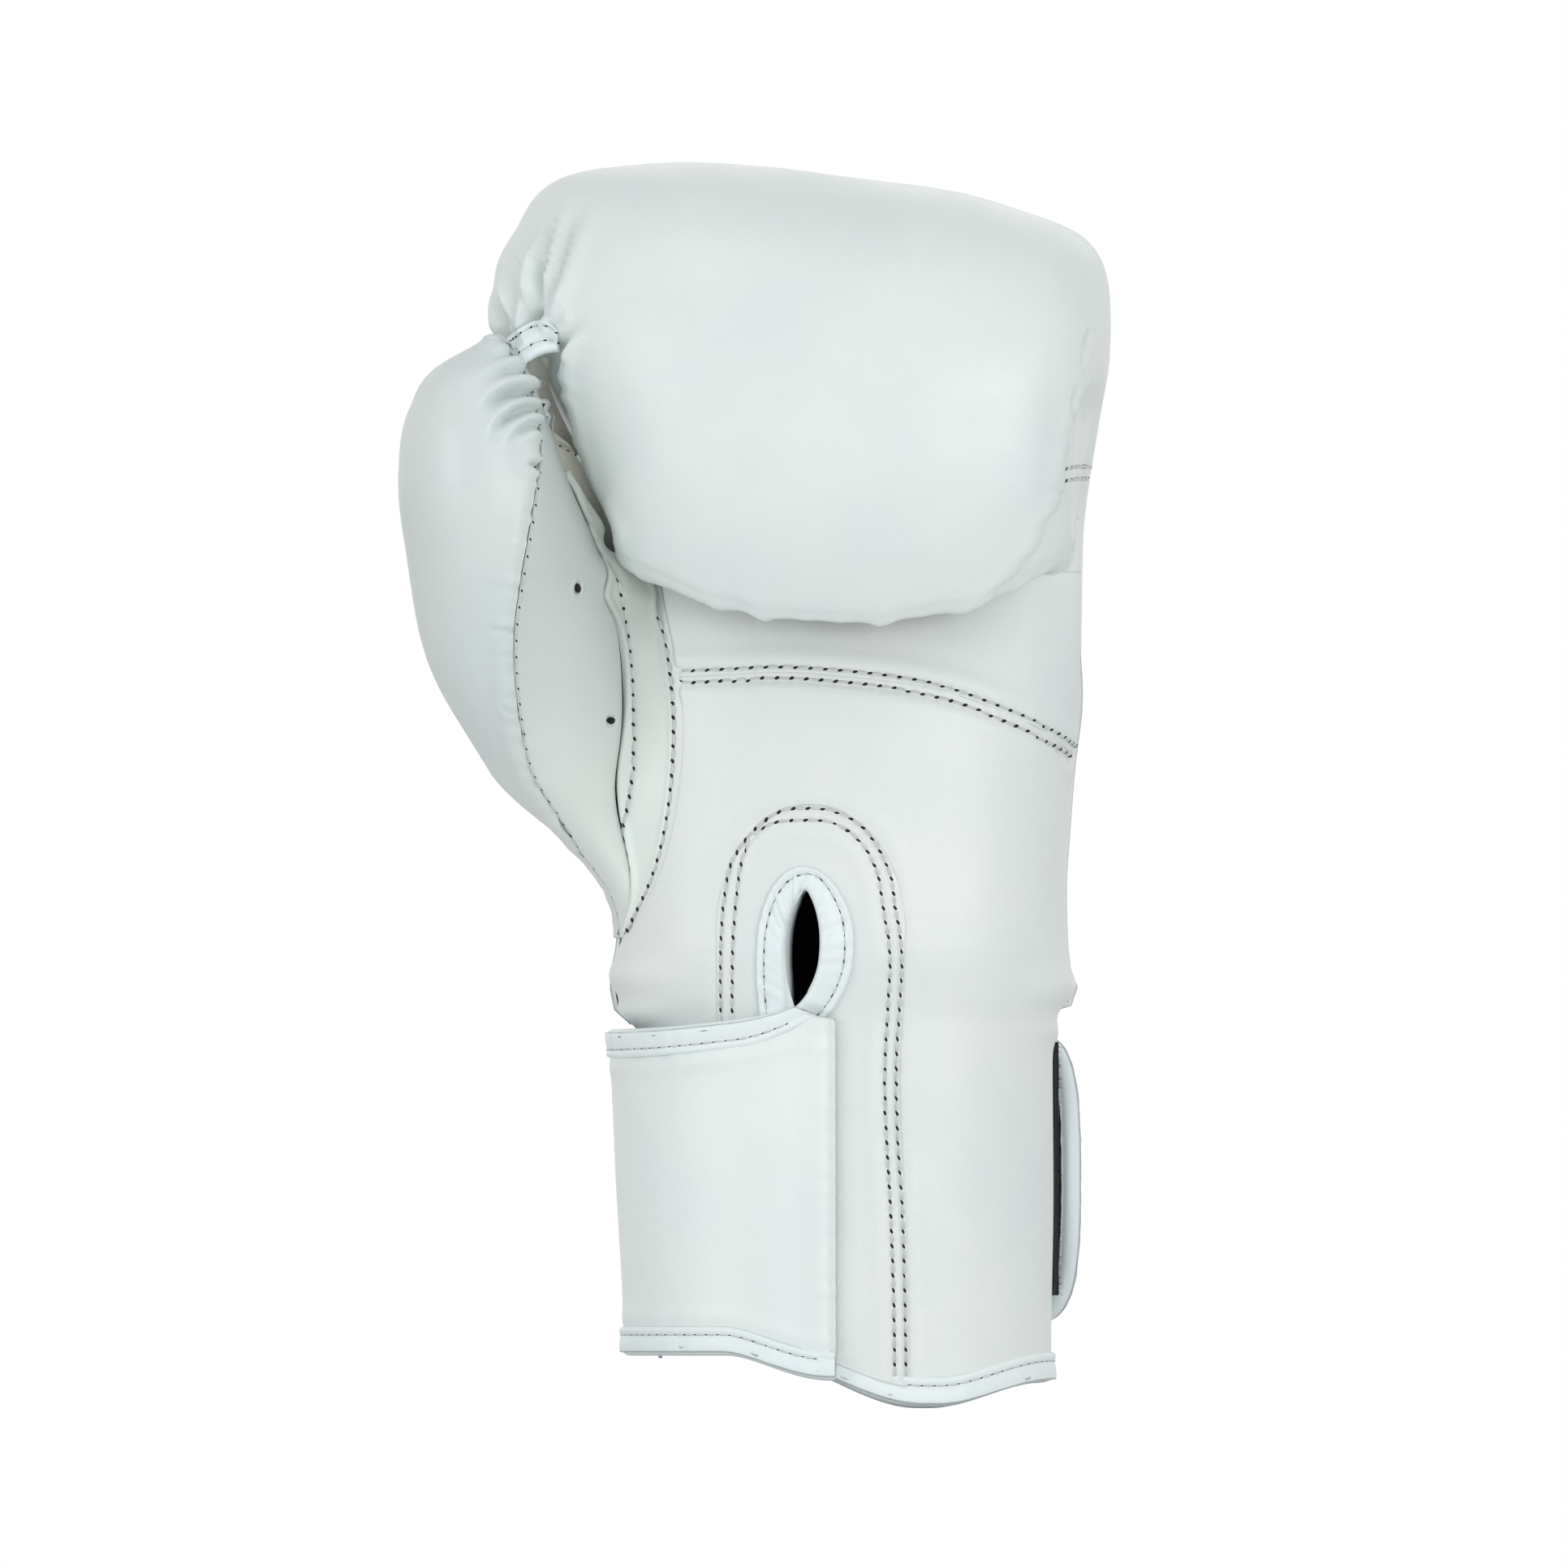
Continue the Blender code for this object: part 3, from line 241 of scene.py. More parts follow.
def curve(points, step):
    """A smooth line through a few given points, evenly spaced."""
    points = np.array(points, float)
    run = run_of(points)
    fine = np.linspace(0.0, run[-1], max(int(run[-1] / 0.25), 8))
    line = np.stack([through(fine, list(zip(run, points[:, i]))) for i in range(points.shape[1])], axis=1)
    return evenly(line, step)


def run_of(line):
    """Distance along a line at each of its points."""
    return np.concatenate([[0.0], np.cumsum(np.linalg.norm(np.diff(line, axis=0), axis=1))])


def length_of(line):
    return float(run_of(line)[-1])


def at_places(places, run, line):
    """Points at these distances along a line."""
    return np.stack([np.interp(places, run, line[:, i]) for i in range(line.shape[1])], axis=1)


def evenly(line, step):
    """The same line with points this far apart."""
    return evenly_counted(line, max(int(round(length_of(line) / step)), 1) + 1)


def evenly_counted(line, count):
    run = run_of(line)
    return at_places(np.linspace(0.0, run[-1], count), run, line)


def distance_to(points, line, reach=16.0):
    """Distance of each point to a line of points, and how far along it, from 0 to 1, it is nearest.

    Points further off than reach get a large distance."""
    shape = points.shape[:-1]
    flat = points.reshape(-1, 3)
    best = np.full(len(flat), 1e3)
    where = np.zeros(len(flat))
    close = ((flat > line.min(axis=0) - reach) & (flat < line.max(axis=0) + reach)).all(axis=1)
    close = np.nonzero(close)[0]
    near = flat[close]
    gaps = np.full(len(close), 1e3)
    shares = np.zeros(len(close))
    for i in range(len(line) - 1):
        a, b = line[i], line[i + 1]
        along = np.clip(((near - a) @ (b - a)) / max((b - a) @ (b - a), 1e-12), 0.0, 1.0)
        gap = np.linalg.norm(near - a - along[:, None] * (b - a), axis=1)
        nearer = gap < gaps
        gaps[nearer] = gap[nearer]
        shares[nearer] = (i + along[nearer]) / (len(line) - 1)
    best[close] = gaps
    where[close] = shares
    return best.reshape(shape), where.reshape(shape)


# --- meshes


def mesh_object(name, points, quads, surface, triangles=()):
    """A shown mesh object from points in millimetres."""
    mesh = bpy.data.meshes.new(name)
    quads = np.asarray(quads, np.int32).reshape(-1, 4)
    triangles = np.asarray(triangles, np.int32).reshape(-1, 3)
    loops = np.concatenate([quads.ravel(), triangles.ravel()])
    starts = np.concatenate([np.arange(len(quads)) * 4, 4 * len(quads) + np.arange(len(triangles)) * 3])
    mesh.vertices.add(len(points))
    mesh.vertices.foreach_set("co", (np.asarray(points, np.float32) * np.float32(MM)).ravel())
    mesh.loops.add(len(loops))
    mesh.loops.foreach_set("vertex_index", loops.astype(np.int32))
    mesh.polygons.add(len(starts))
    mesh.polygons.foreach_set("loop_start", starts.astype(np.int32))
    mesh.update(calc_edges=True)
    mesh.validate()
    mesh.shade_smooth()
    mesh.materials.append(surface)
    made = bpy.data.objects.new(name, mesh)
    bpy.context.scene.collection.objects.link(made)
    return made


def grid_quads(rows, columns, closed=False):
    """Faces of a grid of points; closed joins its last column to its first."""
    index = np.arange(rows * columns).reshape(rows, columns)
    if closed:
        index = np.concatenate([index, index[:, :1]], axis=1)
    return np.stack([index[:-1, :-1], index[:-1, 1:], index[1:, 1:], index[1:, :-1]], axis=-1).reshape(-1, 4)


def layer(name, outside, inside, surface):
    """A closed solid between two grids of points, each (rows, columns, 3)."""
    rows, columns = outside.shape[:2]
    count = rows * columns
    points = np.concatenate([outside.reshape(-1, 3), inside.reshape(-1, 3)])
    index = np.arange(count).reshape(rows, columns)
    loop = np.concatenate([index[0, :-1], index[:-1, -1], index[-1, :0:-1], index[:0:-1, 0]])[::-1]
    ahead = np.roll(loop, -1)
    rim = np.stack([loop, loop + count, ahead + count, ahead], axis=-1)
    face = grid_quads(rows, columns)
    quads = np.concatenate([face, face[:, ::-1] + count, rim])
    made = mesh_object(name, points, quads, surface)
    if volume_of(points, quads) < 0:
        made.data.flip_normals()
    return made


def volume_of(points, quads):
    """Six times the volume inside closed faces, negative where they face inward."""
    a, b, c, d = (points[quads[:, i]] for i in range(4))
    return sum(float(np.einsum("ij,ij->i", a, np.cross(*pair)).sum()) for pair in ((b, c), (c, d)))


def swept(name, rings, surface):
    """A bar through rings of points, (stations, corners, 3), capped at both ends."""
    stations, corner_count = rings.shape[:2]
    index = np.arange(stations * corner_count).reshape(stations, corner_count)
    points = rings.reshape(-1, 3)
    triangles = []
    for ring, turn in ((index[0], 1), (index[-1], -1)):
        middle = len(points)
        points = np.concatenate([points, points[ring].mean(axis=0)[None]])
        triangles += [(middle, b, a)[::turn] for a, b in zip(ring, np.roll(ring, -1))]
    made = mesh_object(name, points, grid_quads(stations, corner_count, closed=True), surface, triangles)
    shape = bmesh.new()
    shape.from_mesh(made.data)
    bmesh.ops.recalc_face_normals(shape, faces=shape.faces)
    if shape.calc_volume(signed=True) < 0:
        bmesh.ops.reverse_faces(shape, faces=shape.faces)
    shape.to_mesh(made.data)
    shape.free()
    return made


def grid_normals(points, outward):
    """Unit normals of a grid of points, on the side that outward points to on the whole."""
    down = np.gradient(points, axis=0)
    across = np.gradient(points, axis=1)
    normal = unit(np.cross(across, down))
    return normal if (normal * outward).sum() > 0 else -normal


def tree_of(points):
    rows, columns = points.shape[:2]
    return BVHTree.FromPolygons(points.reshape(-1, 3).tolist(), grid_quads(rows, columns).tolist())


IN_FRONT = -300.0
PALM_LEVEL = -30.0
AHEAD = Vector((0.0, 1.0, 0.0))


def cast(tree, line):
    """Points and normals where a drawn (x, z) line, seen along +Y, lies on a surface."""
    found, normals = [], []
    for x, z in line:
        hit, normal, _, _ = tree.ray_cast(Vector((x, IN_FRONT, z)), AHEAD)
        if hit is None:
            hit, normal, _, _ = tree.find_nearest(Vector((x, found[-1][1] if found else PALM_LEVEL, z)))
        normal = np.array(normal)
        found.append(np.array(hit))
        normals.append(-normal if normal[1] > 0 else normal)
    return np.array(found), np.array(normals)


def settle(tree, line):
    """The nearest points of a surface to those of a line, and its normals there."""
    hits = [tree.find_nearest(Vector(point))[:2] for point in line]
    return np.array([hit for hit, _ in hits]), np.array([normal for _, normal in hits])


# --- hand and cuff tube

PALM_START = 180.0 + SIDE_LIP
# The palm's edge beside the gusset, as (z, x).
PALM_EDGE = [(THUMB_FOOT, -52.5), (128, -45.0), (145, -41.0), (166, -39.6), (PALM_TOP, -45.0)]


def core_height(z):
    """How far back or forward the tube's middle line lies at a height."""
    return CORE_Y * smooth(z, CORE_START, CORE_Z)


def tube_half_width(z, thumb_side):
    hand = np.where(thumb_side, HAND_HALF_WIDTH_THUMB, HAND_HALF_WIDTH_LITTLE)
    spread = np.where(thumb_side, HAND_SPREAD_THUMB, HAND_SPREAD_LITTLE)
    hand = hand - spread * (1.0 - smooth(z, SPREAD_FOOT, SPREAD_TOP))
    narrowing = CUFF_THUMB_INSET + CUFF_TAPER * (1.0 - np.clip(z / CUFF_TOP, 0.0, 1.0))
    cuff = CUFF_HALF_WIDTH - np.where(thumb_side, narrowing, 0.0)
    flare = smooth(z, CUFF_TOP, CUFF_TOP + CUFF_FLARE)
    roll = WRIST_ROLL * bell(z, WRIST_ROLL_AT, WRIST_ROLL_SPREAD) * smooth(z, CUFF_TOP, WRIST_ROLL_AT)
    return cuff + (hand - cuff) * flare + roll


def tube_half_depth(z):
    swell = (HAND_PALM_DEPTH - CUFF_HALF_DEPTH) * smooth(z, CUFF_TOP, CUFF_TOP + CUFF_FLARE)
    tuck = PALM_TUCK * smooth(z, PALM_TUCK_START, CORE_Z)
    return CUFF_HALF_DEPTH + swell - tuck + core_height(z)


def tube(angle, z, depth=0.0):
    """A point of the hand and cuff tube: angle in degrees from the little-finger side, over the back."""
    angle, z, depth = np.broadcast_arrays(*(np.asarray(a, float) for a in (angle, z, depth)))
    cosine, sine = np.cos(np.radians(angle)), np.sin(np.radians(angle))
    across = tube_half_width(z, cosine < 0) - depth
    along = tube_half_depth(z) - depth
    power = 2 / TUBE_POWER
    return xyz(across * signed_power(cosine, power), core_height(z) + along * signed_power(sine, power), z)


def palm_angle(x, z):
    """The tube angle of a place on the palm."""
    across = tube_half_width(z, np.asarray(x) < 0)
    cosine = signed_power(np.clip(x / across, -1, 1), TUBE_POWER / 2)
    return 360.0 - np.degrees(np.arccos(cosine))


def palm_point(x, z, level):
    """A point at a height over the palm, placed in front view."""
    return tube(palm_angle(x, z), z, -level)


def cuff_edge(angle):
    """Height of the cuff's lower edge."""
    x = tube(angle, 0.0)[..., 0]
    rise = CUFF_EDGE_RISE * (1.0 - smooth(x, -0.5 * CUFF_HALF_WIDTH, 0.38 * CUFF_HALF_WIDTH))
    return rise + CUFF_EDGE_LIFT * smooth(x, 0.45 * CUFF_HALF_WIDTH, CUFF_HALF_WIDTH)


def palm_edge(z):
    """The tube angle of the palm's edge beside the thumb."""
    opened = smooth(z, THUMB_FOOT - 8.0, THUMB_FOOT + 1.0)
    return PALM_START + (palm_angle(through(z, PALM_EDGE), z) - PALM_START) * opened


def even_angles(start, end, count, z=50.0):
    """Tube angles from start to end whose points are evenly spaced."""
    fine = np.linspace(start, end, 2000)
    line = tube(fine, z)
    run = run_of(line)
    return np.interp(np.linspace(0.0, run[-1], count), run, fine)


# --- curled pad


def flank_bump(turn, middle, spread):
    """A rounded bump, 1 at the middle and 0 from spread degrees away from it."""
    return np.clip(np.cos(np.radians((turn - middle) * 90.0 / spread)), 0.0, 1.0)


def hem_turn(across):
    """How far round the fist the hem lies."""
    return HEM_ANGLE - HEM_LIFT * np.abs(across) ** 1.4


def pad_profile(along, back, turn, at_wrist, half_depth, middle_z, half_height, power):
    """A lengthwise section of the pad: up the back of the hand, then round the fist."""
    y = at_wrist + (FIST_MIDDLE_Y + half_depth - at_wrist) * np.sin(np.pi / 2 * back)
    z = PAD_BOTTOM + (middle_z - PAD_BOTTOM) * back
    round_y = FIST_MIDDLE_Y + half_depth * signed_power(np.cos(np.radians(turn)), power)
    round_z = middle_z + half_height * signed_power(np.sin(np.radians(turn)), power)
    on_fist = along > BACK_SHARE
    return np.where(on_fist, round_y, y), np.where(on_fist, round_z, z)


def pad_surfaces(across, along):
    """Outer and pocket-side points of the pad. across runs -1..1 from the thumb side, along 0..1."""
    across, along = np.broadcast_arrays(across, along)
    back = np.clip(along / BACK_SHARE, 0.0, 1.0)
    turn = np.clip((along - BACK_SHARE) / (1 - BACK_SHARE), 0.0, 1.0) * hem_turn(across)
    curl = np.where(along < BACK_SHARE, (back - 1.0) * 90.0, turn)
    outer_y, outer_z = pad_profile(
        along, back, turn, PAD_BACK_AT_WRIST, FIST_HALF_DEPTH, FIST_MIDDLE_Z, FIST_HALF_HEIGHT, 2 / FIST_POWER
    )
    pocket = PAD_BACK_AT_WRIST - PAD_AT_WRIST, POCKET_HALF_DEPTH, POCKET_MIDDLE_Z, POCKET_HALF_HEIGHT
    inner_y, inner_z = pad_profile(along, back, turn, *pocket, 1.0)

    # The pocket closes on the outer profile at the hem.
    reach = np.hypot(inner_y - outer_y, inner_z - outer_z)
    closing = smooth(turn, HEM_ANGLE - 70.0, HEM_ANGLE - 5.0) * (1.0 - HEM_THICKNESS / reach)
    inner_y = inner_y + (outer_y - inner_y) * closing
    inner_z = inner_z + (outer_z - inner_z) * closing

    # Core line, about which the flanks fan out.
    from_core = np.hypot(outer_y - CORE_Y, outer_z - CORE_Z)
    ring_y = CORE_Y + CORE_RADIUS * (outer_y - CORE_Y) / from_core
    ring_z = CORE_Z + CORE_RADIUS * (outer_z - CORE_Z) / from_core
    line_z = PAD_BOTTOM + (CORE_Z - PAD_BOTTOM) * back
    blend = smooth(back, 0.8, 1.0)
    core_y = core_height(line_z) * (1 - blend) + ring_y * blend
    core_z = line_z * (1 - blend) + ring_z * blend

    # Crosswise shape: a superellipse quarter to the widest point, then inward to the core.
    thumb_side = across < 0
    edge_half = tube_half_width(core_z, thumb_side)
    bulge = np.where(thumb_side, FLANK_BULGE_THUMB, FLANK_BULGE_LITTLE)
    wide_half = edge_half + bulge * flank_bump(curl, WIDEST_CURL, BULGE_SPREAD) ** 1.8
    fold = FOLD_HEIGHT * flank_bump(curl, TOP_CURL, FOLD_SPREAD)
    split = 1.0 - 0.4 * fold
    quarter = np.clip(np.abs(across) / split, 0.0, 1.0) * np.pi / 2
    tuck = np.clip((np.abs(across) - split) / np.maximum(1.0 - split, 1e-6), 0.0, 1.0)
    square = np.where(thumb_side, CROWN_SQUARE_THUMB, CROWN_SQUARE_LITTLE)
    power = 2 / (TUBE_POWER + square * flank_bump(curl, TOP_CURL, SQUARE_SPREAD))
    side = signed_power(np.sin(quarter), power)
    rise = signed_power(np.cos(quarter), power)
    height = np.where(tuck > 0, fold * (1 - tuck), fold + (1 - fold) * rise)
    pinch = smooth(tuck, 0.0, 1.0)

    surfaces = []
    flank = PAD_AT_WRIST + (FLANK_PAD - PAD_AT_WRIST) * smooth(curl, -60.0, 0.0)
    deep = flank + FLANK_SWELL * flank_bump(curl, TOP_CURL, SWELL_SPREAD)
    for y, z, wide, edge in (
        (outer_y, outer_z, wide_half, edge_half),
        (inner_y, inner_z, wide_half - deep, edge_half - flank),
    ):
        half = np.where(tuck > 0, wide + (edge - wide) * pinch, wide * side)
        x = half * np.sign(across)
        point_y = core_y + (y - core_y) * height
        point_z = core_z + (z - core_z) * height
        slant = flank_bump(curl, TOP_CURL, SLOPE_SPREAD) * height
        point_z = point_z - CROWN_SLOPE * (x - CROWN_CREST_X) * slant
        surfaces.append(xyz(x, point_y, point_z))
    return surfaces


# --- thumb surface

THUMB_OUTER_X = [(THUMB_FOOT, -55.5), (125, -63.8), (133, -70.0), (142, -76.8), (152, -83.4)]
THUMB_OUTER_X += [(174, -97.6), (206, -105.2), (225, -107.0), (240, -104.5), (250, -98.0)]
THUMB_OUTER_X += [(THUMB_TOP, -86.5)]
THUMB_FOLD_X = [(THUMB_FOOT, -54.5), (134, -55.6), (152, -54.3), (170, -52.3), (186, -53.5)]
THUMB_FOLD_X += [(206, -59.5), (225, -67.0), (240, -72.0), (250, -76.0), (THUMB_TOP, -81.5)]
THUMB_MIDDLE_Y = [(THUMB_FOOT, -8.0), (150, -17.0), (186, -28.0), (225, -37.0), (THUMB_TOP, -40.0)]
THUMB_HALF_DEPTH = [(THUMB_FOOT, 4.0), (141, 14.0), (162, 21.0), (186, 24.0), (225, 21.5)]
THUMB_HALF_DEPTH += [(240, 17.5), (250, 12.0), (THUMB_TOP, 3.0)]

# Where round its ring the thumb's leather starts and ends, in degrees: where it is sewn, and above.
THUMB_START = 52.0, 3.0
THUMB_FINISH = 345.0, 357.0


def thumb_surface(around, z):
    """A point of the thumb. around runs 0..1 from the hand's side seam round to the palm's edge."""
    around, z = np.broadcast_arrays(np.asarray(around, float), np.asarray(z, float))
    free = smooth(z, GUSSET_TOP - 8.0, GUSSET_TOP + 14.0)
    start, finish = (sewn * (1 - free) + loose * free for sewn, loose in (THUMB_START, THUMB_FINISH))
    share = around * free + np.clip(around / FOLD_SHARE, 0.0, 1.0) * (1 - free)
    angle = np.radians(start + (finish - start) * share)
    left, right = through(z, THUMB_OUTER_X), through(z, THUMB_FOLD_X)
    middle_y = through(z, THUMB_MIDDLE_Y)
    half_depth = through(z, THUMB_HALF_DEPTH)
    ring = xyz(
        (left + right) / 2 + (right - left) / 2 * np.cos(angle),
        middle_y + half_depth * np.sin(angle),
        z,
    )
    palm = palm_edge(z) - np.degrees(GUSSET_GAP / CUFF_HALF_WIDTH)
    wall = tube(PALM_START + (palm - PALM_START) * around, z)
    swell = smooth(z, THUMB_FOOT - 6.0, THUMB_FOOT + 40.0)
    window = smooth(around, 0.0, 0.14) * (1.0 - smooth(around, FOLD_SHARE, 1.0))
    share = (swell * (window * (1 - free) + free))[..., None]
    return wall * (1 - share) + ring * share


# Where the thumb's long seam lies, as its place across at each height.
THUMB_SEAM_X = [(THUMB_FOOT, -54.0), (131.6, -62.2), (142.0, -69.2), (152.1, -74.9), (163.6, -77.8)]
THUMB_SEAM_X += [(176.3, -79.2), (187.6, -79.2), (196.8, -78.0), (208.3, -76.0), (220.9, -73.9)]
THUMB_SEAM_X += [(229.9, -72.9), (238.0, -73.4), (246.1, -75.2), (250.6, -77.0), (THUMB_TOP, -82.0)]


def seam_share(z):
    """The thumb seam's share of the way round at each height."""
    z = np.asarray(z, float)
    around = np.linspace(0.40, 0.97, 240)
    shares = []
    for height in z.ravel():
        x = np.maximum.accumulate(thumb_surface(around, height)[:, 0])
        shares.append(np.interp(through(height, THUMB_SEAM_X), x, around))
    return np.array(shares).reshape(z.shape)


THUMB_PAD_SHARE = 0.62
THUMB_FOAM_AT = 3.4


def foam_thickness(around):
    """Thickness of the thumb's foam, which thins out at both of its edges."""
    rise = smooth(around, -0.02, 0.3) * (1.0 - smooth(around, 0.4, THUMB_PAD_SHARE + 0.02))
    return THUMB_FOAM * rise


# --- strap lines


def strap_foot(angle):
    """Height of the strap's lower edge at a tube angle."""
    dip = STRAP_SEAM_DIP * smooth(angle, 240.0, 268.0)
    rise = STRAP_END_RISE * (1.0 - smooth(angle, 38.0, 112.0))
    return STRAP_FOOT - dip + rise


# --- materials


def wire(tree, value, socket):
    """Links a value to a socket where it comes from a node, and sets it there where it is a number."""
    if isinstance(value, bpy.types.NodeSocket):
        tree.links.new(value, socket)
    else:
        socket.default_value = value


def add(tree, kind, output, inputs=None, **settings):
    """One output of a new node with these inputs and settings."""
    made = tree.nodes.new(kind)
    for name, value in settings.items():
        setattr(made, name, value)
    for name, value in (inputs or {}).items():
        wire(tree, value, made.inputs[name])
    return made.outputs[output]


def maximum(tree, first, second):
    return add(tree, "ShaderNodeMath", 0, {0: first, 1: second}, operation="MAXIMUM")


def mapped(tree, value, low, high, to_low, to_high):
    inputs = {"Value": value, "From Min": low, "From Max": high, "To Min": to_low, "To Max": to_high}
    return add(tree, "ShaderNodeMapRange", "Result", inputs)


def mixed(tree, share, first, second):
    return add(tree, "ShaderNodeMix", 2, {"Factor": share, 6: first, 7: second}, data_type="RGBA")


def rgba(colour, *factors):
    """The colour times one factor, or one for each channel, as a shader takes it."""
    return (*np.minimum(np.array(colour) * (factors or 1.0), 1.0).tolist(), 1.0)


def material(name, **inputs):
    """A new material, its node tree, its shader, and where its textures lie."""
    made = bpy.data.materials.new(name)
    made.use_nodes = True
    tree = made.node_tree
    shader = tree.nodes["Principled BSDF"]
    for socket, value in inputs.items():
        shader.inputs[socket.replace("_", " ")].default_value = value
    return made, tree, shader, add(tree, "ShaderNodeTexCoord", "Object")


def raise_surface(tree, shader, height, strength, distance):
    inputs = {"Height": height, "Strength": strength, "Distance": distance}
    wire(tree, add(tree, "ShaderNodeBump", "Normal", inputs), shader.inputs["Normal"])


def leather(name, colour, roughness, grain=0.12, tint=0.03, specks=0.10, painted_shade=None):
    """Coated leather: fine pebble grain, faint clouding of its colour and shine, and a few specks.

    The last argument is (colour, low, high): painted shade, which darkens the colour toward that one between
    these heights, in metres."""
    made, tree, shader, place = material(name, Specular_IOR_Level=0.45)

    def noise(scale, detail=3.0):
        return add(tree, "ShaderNodeTexNoise", "Fac", {"Vector": place, "Scale": scale, "Detail": detail})

    cool = rgba(colour, 0.985 * (1.0 - tint), 1.0 - tint, 1.005 * (1.0 - tint))
    warm = rgba(colour, 1.015, 1.0, 0.985)
    shade = mixed(tree, mapped(tree, noise(26.0), 0.35, 0.65, 0.0, 1.0), cool, warm)
    # Painted shade: the colour darkens with height toward a darker one, for the shadow there.
    if painted_shade:
        height = add(tree, "ShaderNodeSeparateXYZ", "Z", {0: place})
        shade = mixed(tree, mapped(tree, height, painted_shade[1], painted_shade[2], 0.0, 1.0), shade, rgba(painted_shade[0]))
    marks = mapped(tree, noise(520.0, 1.0), 0.735, 0.80, 0.0, specks)
    wire(tree, mixed(tree, marks, shade, rgba(colour, 0.72)), shader.inputs["Base Color"])
    shine = mapped(tree, noise(60.0), 0.3, 0.7, roughness - 0.04, roughness + 0.05)
    wire(tree, shine, shader.inputs["Roughness"])
    pebble = add(tree, "ShaderNodeTexVoronoi", "Distance", {"Vector": place, "Scale": 1250.0})
    height = add(tree, "ShaderNodeMath", 0, {0: pebble, 1: noise(2400.0, 2.0)}, operation="ADD")
    raise_surface(tree, shader, height, grain, 0.00025)
    return made


def woven(threads):
    """Two sets of threads at right angles."""

    def pattern(tree, place):
        inputs = {"Vector": place, "Scale": threads / 6.28, "Distortion": 0.6, "Detail": 1.0}
        warp, weft = (add(tree, "ShaderNodeTexWave", "Fac", inputs, bands_direction=way) for way in "XZ")
        return maximum(tree, warp, weft)

    return pattern


def pores(tree, place):
    return add(tree, "ShaderNodeTexVoronoi", "Distance", {"Vector": place, "Scale": 1700.0})


def mottle(tree, place):
    return add(tree, "ShaderNodeTexNoise", "Fac", {"Vector": place, "Scale": 900.0})


def patterned(name, colour, roughness, pattern, dark=0.6, light=1.0, relief=(0.35, 0.0002), sheen=0.0):
    """Cloth, foam, thread or pile, whose pattern runs from a darker to a lighter shade.

    relief is the strength and the height of its bumps."""
    made, tree, shader, place = material(name, Roughness=roughness, Sheen_Weight=sheen)
    shape = pattern(tree, place)
    wire(tree, mixed(tree, shape, rgba(colour, dark), rgba(colour, light)), shader.inputs["Base Color"])
    if relief:
        raise_surface(tree, shader, shape, *relief)
    return made


def plain(name, colour, roughness):
    return patterned(name, colour, roughness, mottle, 0.8, 1.2, None)


WHITE_LEATHER = leather("smooth_white_leather", (0.735, 0.80, 0.79), 0.38)
PALM_LEATHER = leather("palm_white_leather", (0.76, 0.81, 0.80), 0.40)
STRAP_LEATHER = leather("strap_white_leather", (0.79, 0.855, 0.845), 0.38)
# Painted shade: the thumb's cover is the glove's white leather, made darker because the thumb side lies away
# from the key light.
SHADED_THUMB_LEATHER = leather("thumb_outer_leather", (0.665, 0.73, 0.72), 0.36)
# Painted shade: the thumb's inner panel and the gusset darken toward their tops, where they lie in shadow
# under the fist.
THUMB_PAINTED_SHADE = (0.53, 0.575, 0.555), 0.150, 0.200
GREY_LEATHER = leather("thumb_inner_leather", (0.72, 0.785, 0.765), 0.46, painted_shade=THUMB_PAINTED_SHADE)
GUSSET_PAINTED_SHADE = (0.54, 0.58, 0.545), 0.150, 0.192
GUSSET_LEATHER = leather("gusset_leather", (0.78, 0.85, 0.825), 0.44, painted_shade=GUSSET_PAINTED_SHADE)
# Painted shade: the webs are the glove's white leather, given a darker olive colour for the shade and a
# painted warm reflection deep between thumb and fist.
SHADED_WEB_LEATHER = leather("web_leather_painted_shade", (0.60, 0.615, 0.55), 0.5)
BINDING_LEATHER = leather("binding_leather", (0.80, 0.875, 0.89), 0.36, grain=0.08, specks=0.03)
LINING_CLOTH = patterned("lining_cloth", (0.03, 0.03, 0.032), 0.75, woven(1400.0), sheen=0.25)
FOAM = patterned("foam", (0.62, 0.60, 0.50), 0.95, pores, 0.7, relief=(0.4, 0.0003))
TAPE_WEAVE = patterned("tape_weave", (0.012, 0.012, 0.013), 0.9, woven(1900.0), sheen=0.25)
TAPE_PILE = plain("tape_pile", (0.012, 0.012, 0.013), 0.8)
# Painted shade: the thread is white, and is given a grey colour for the shade along its edges.
THREAD = plain("sewing_thread", (0.60, 0.625, 0.625), 0.6)
# Painted shade: needle holes and vents are black beads laid on the leather, for the shadow inside the holes.
HOLE = plain("needle_hole", (0.012, 0.012, 0.012), 0.9)


# --- stitches


def thread_template():
    """One stitch along x from -0.5 to 0.5, arched in z, and its faces."""
    sides = 6
    turn = full_turn(sides)
    rings = [(-0.5, 0.25, -1.2), (-0.42, 0.9, -0.2), (-0.2, 1.0, 0.35)]
    rings += [(-x, girth, rise) for x, girth, rise in rings[::-1]]
    points = [(x, girth * np.cos(t), rise + girth * np.sin(t)) for x, girth, rise in rings for t in turn]
    quads = grid_quads(len(rings), sides, closed=True)
    last = (len(rings) - 1) * sides
    caps = [(0, 1, 2, 3), (0, 3, 4, 5)]
    caps += [(last + 3, last + 2, last + 1, last), (last + 5, last + 4, last + 3, last)]
    return np.array(points), np.concatenate([quads, caps])


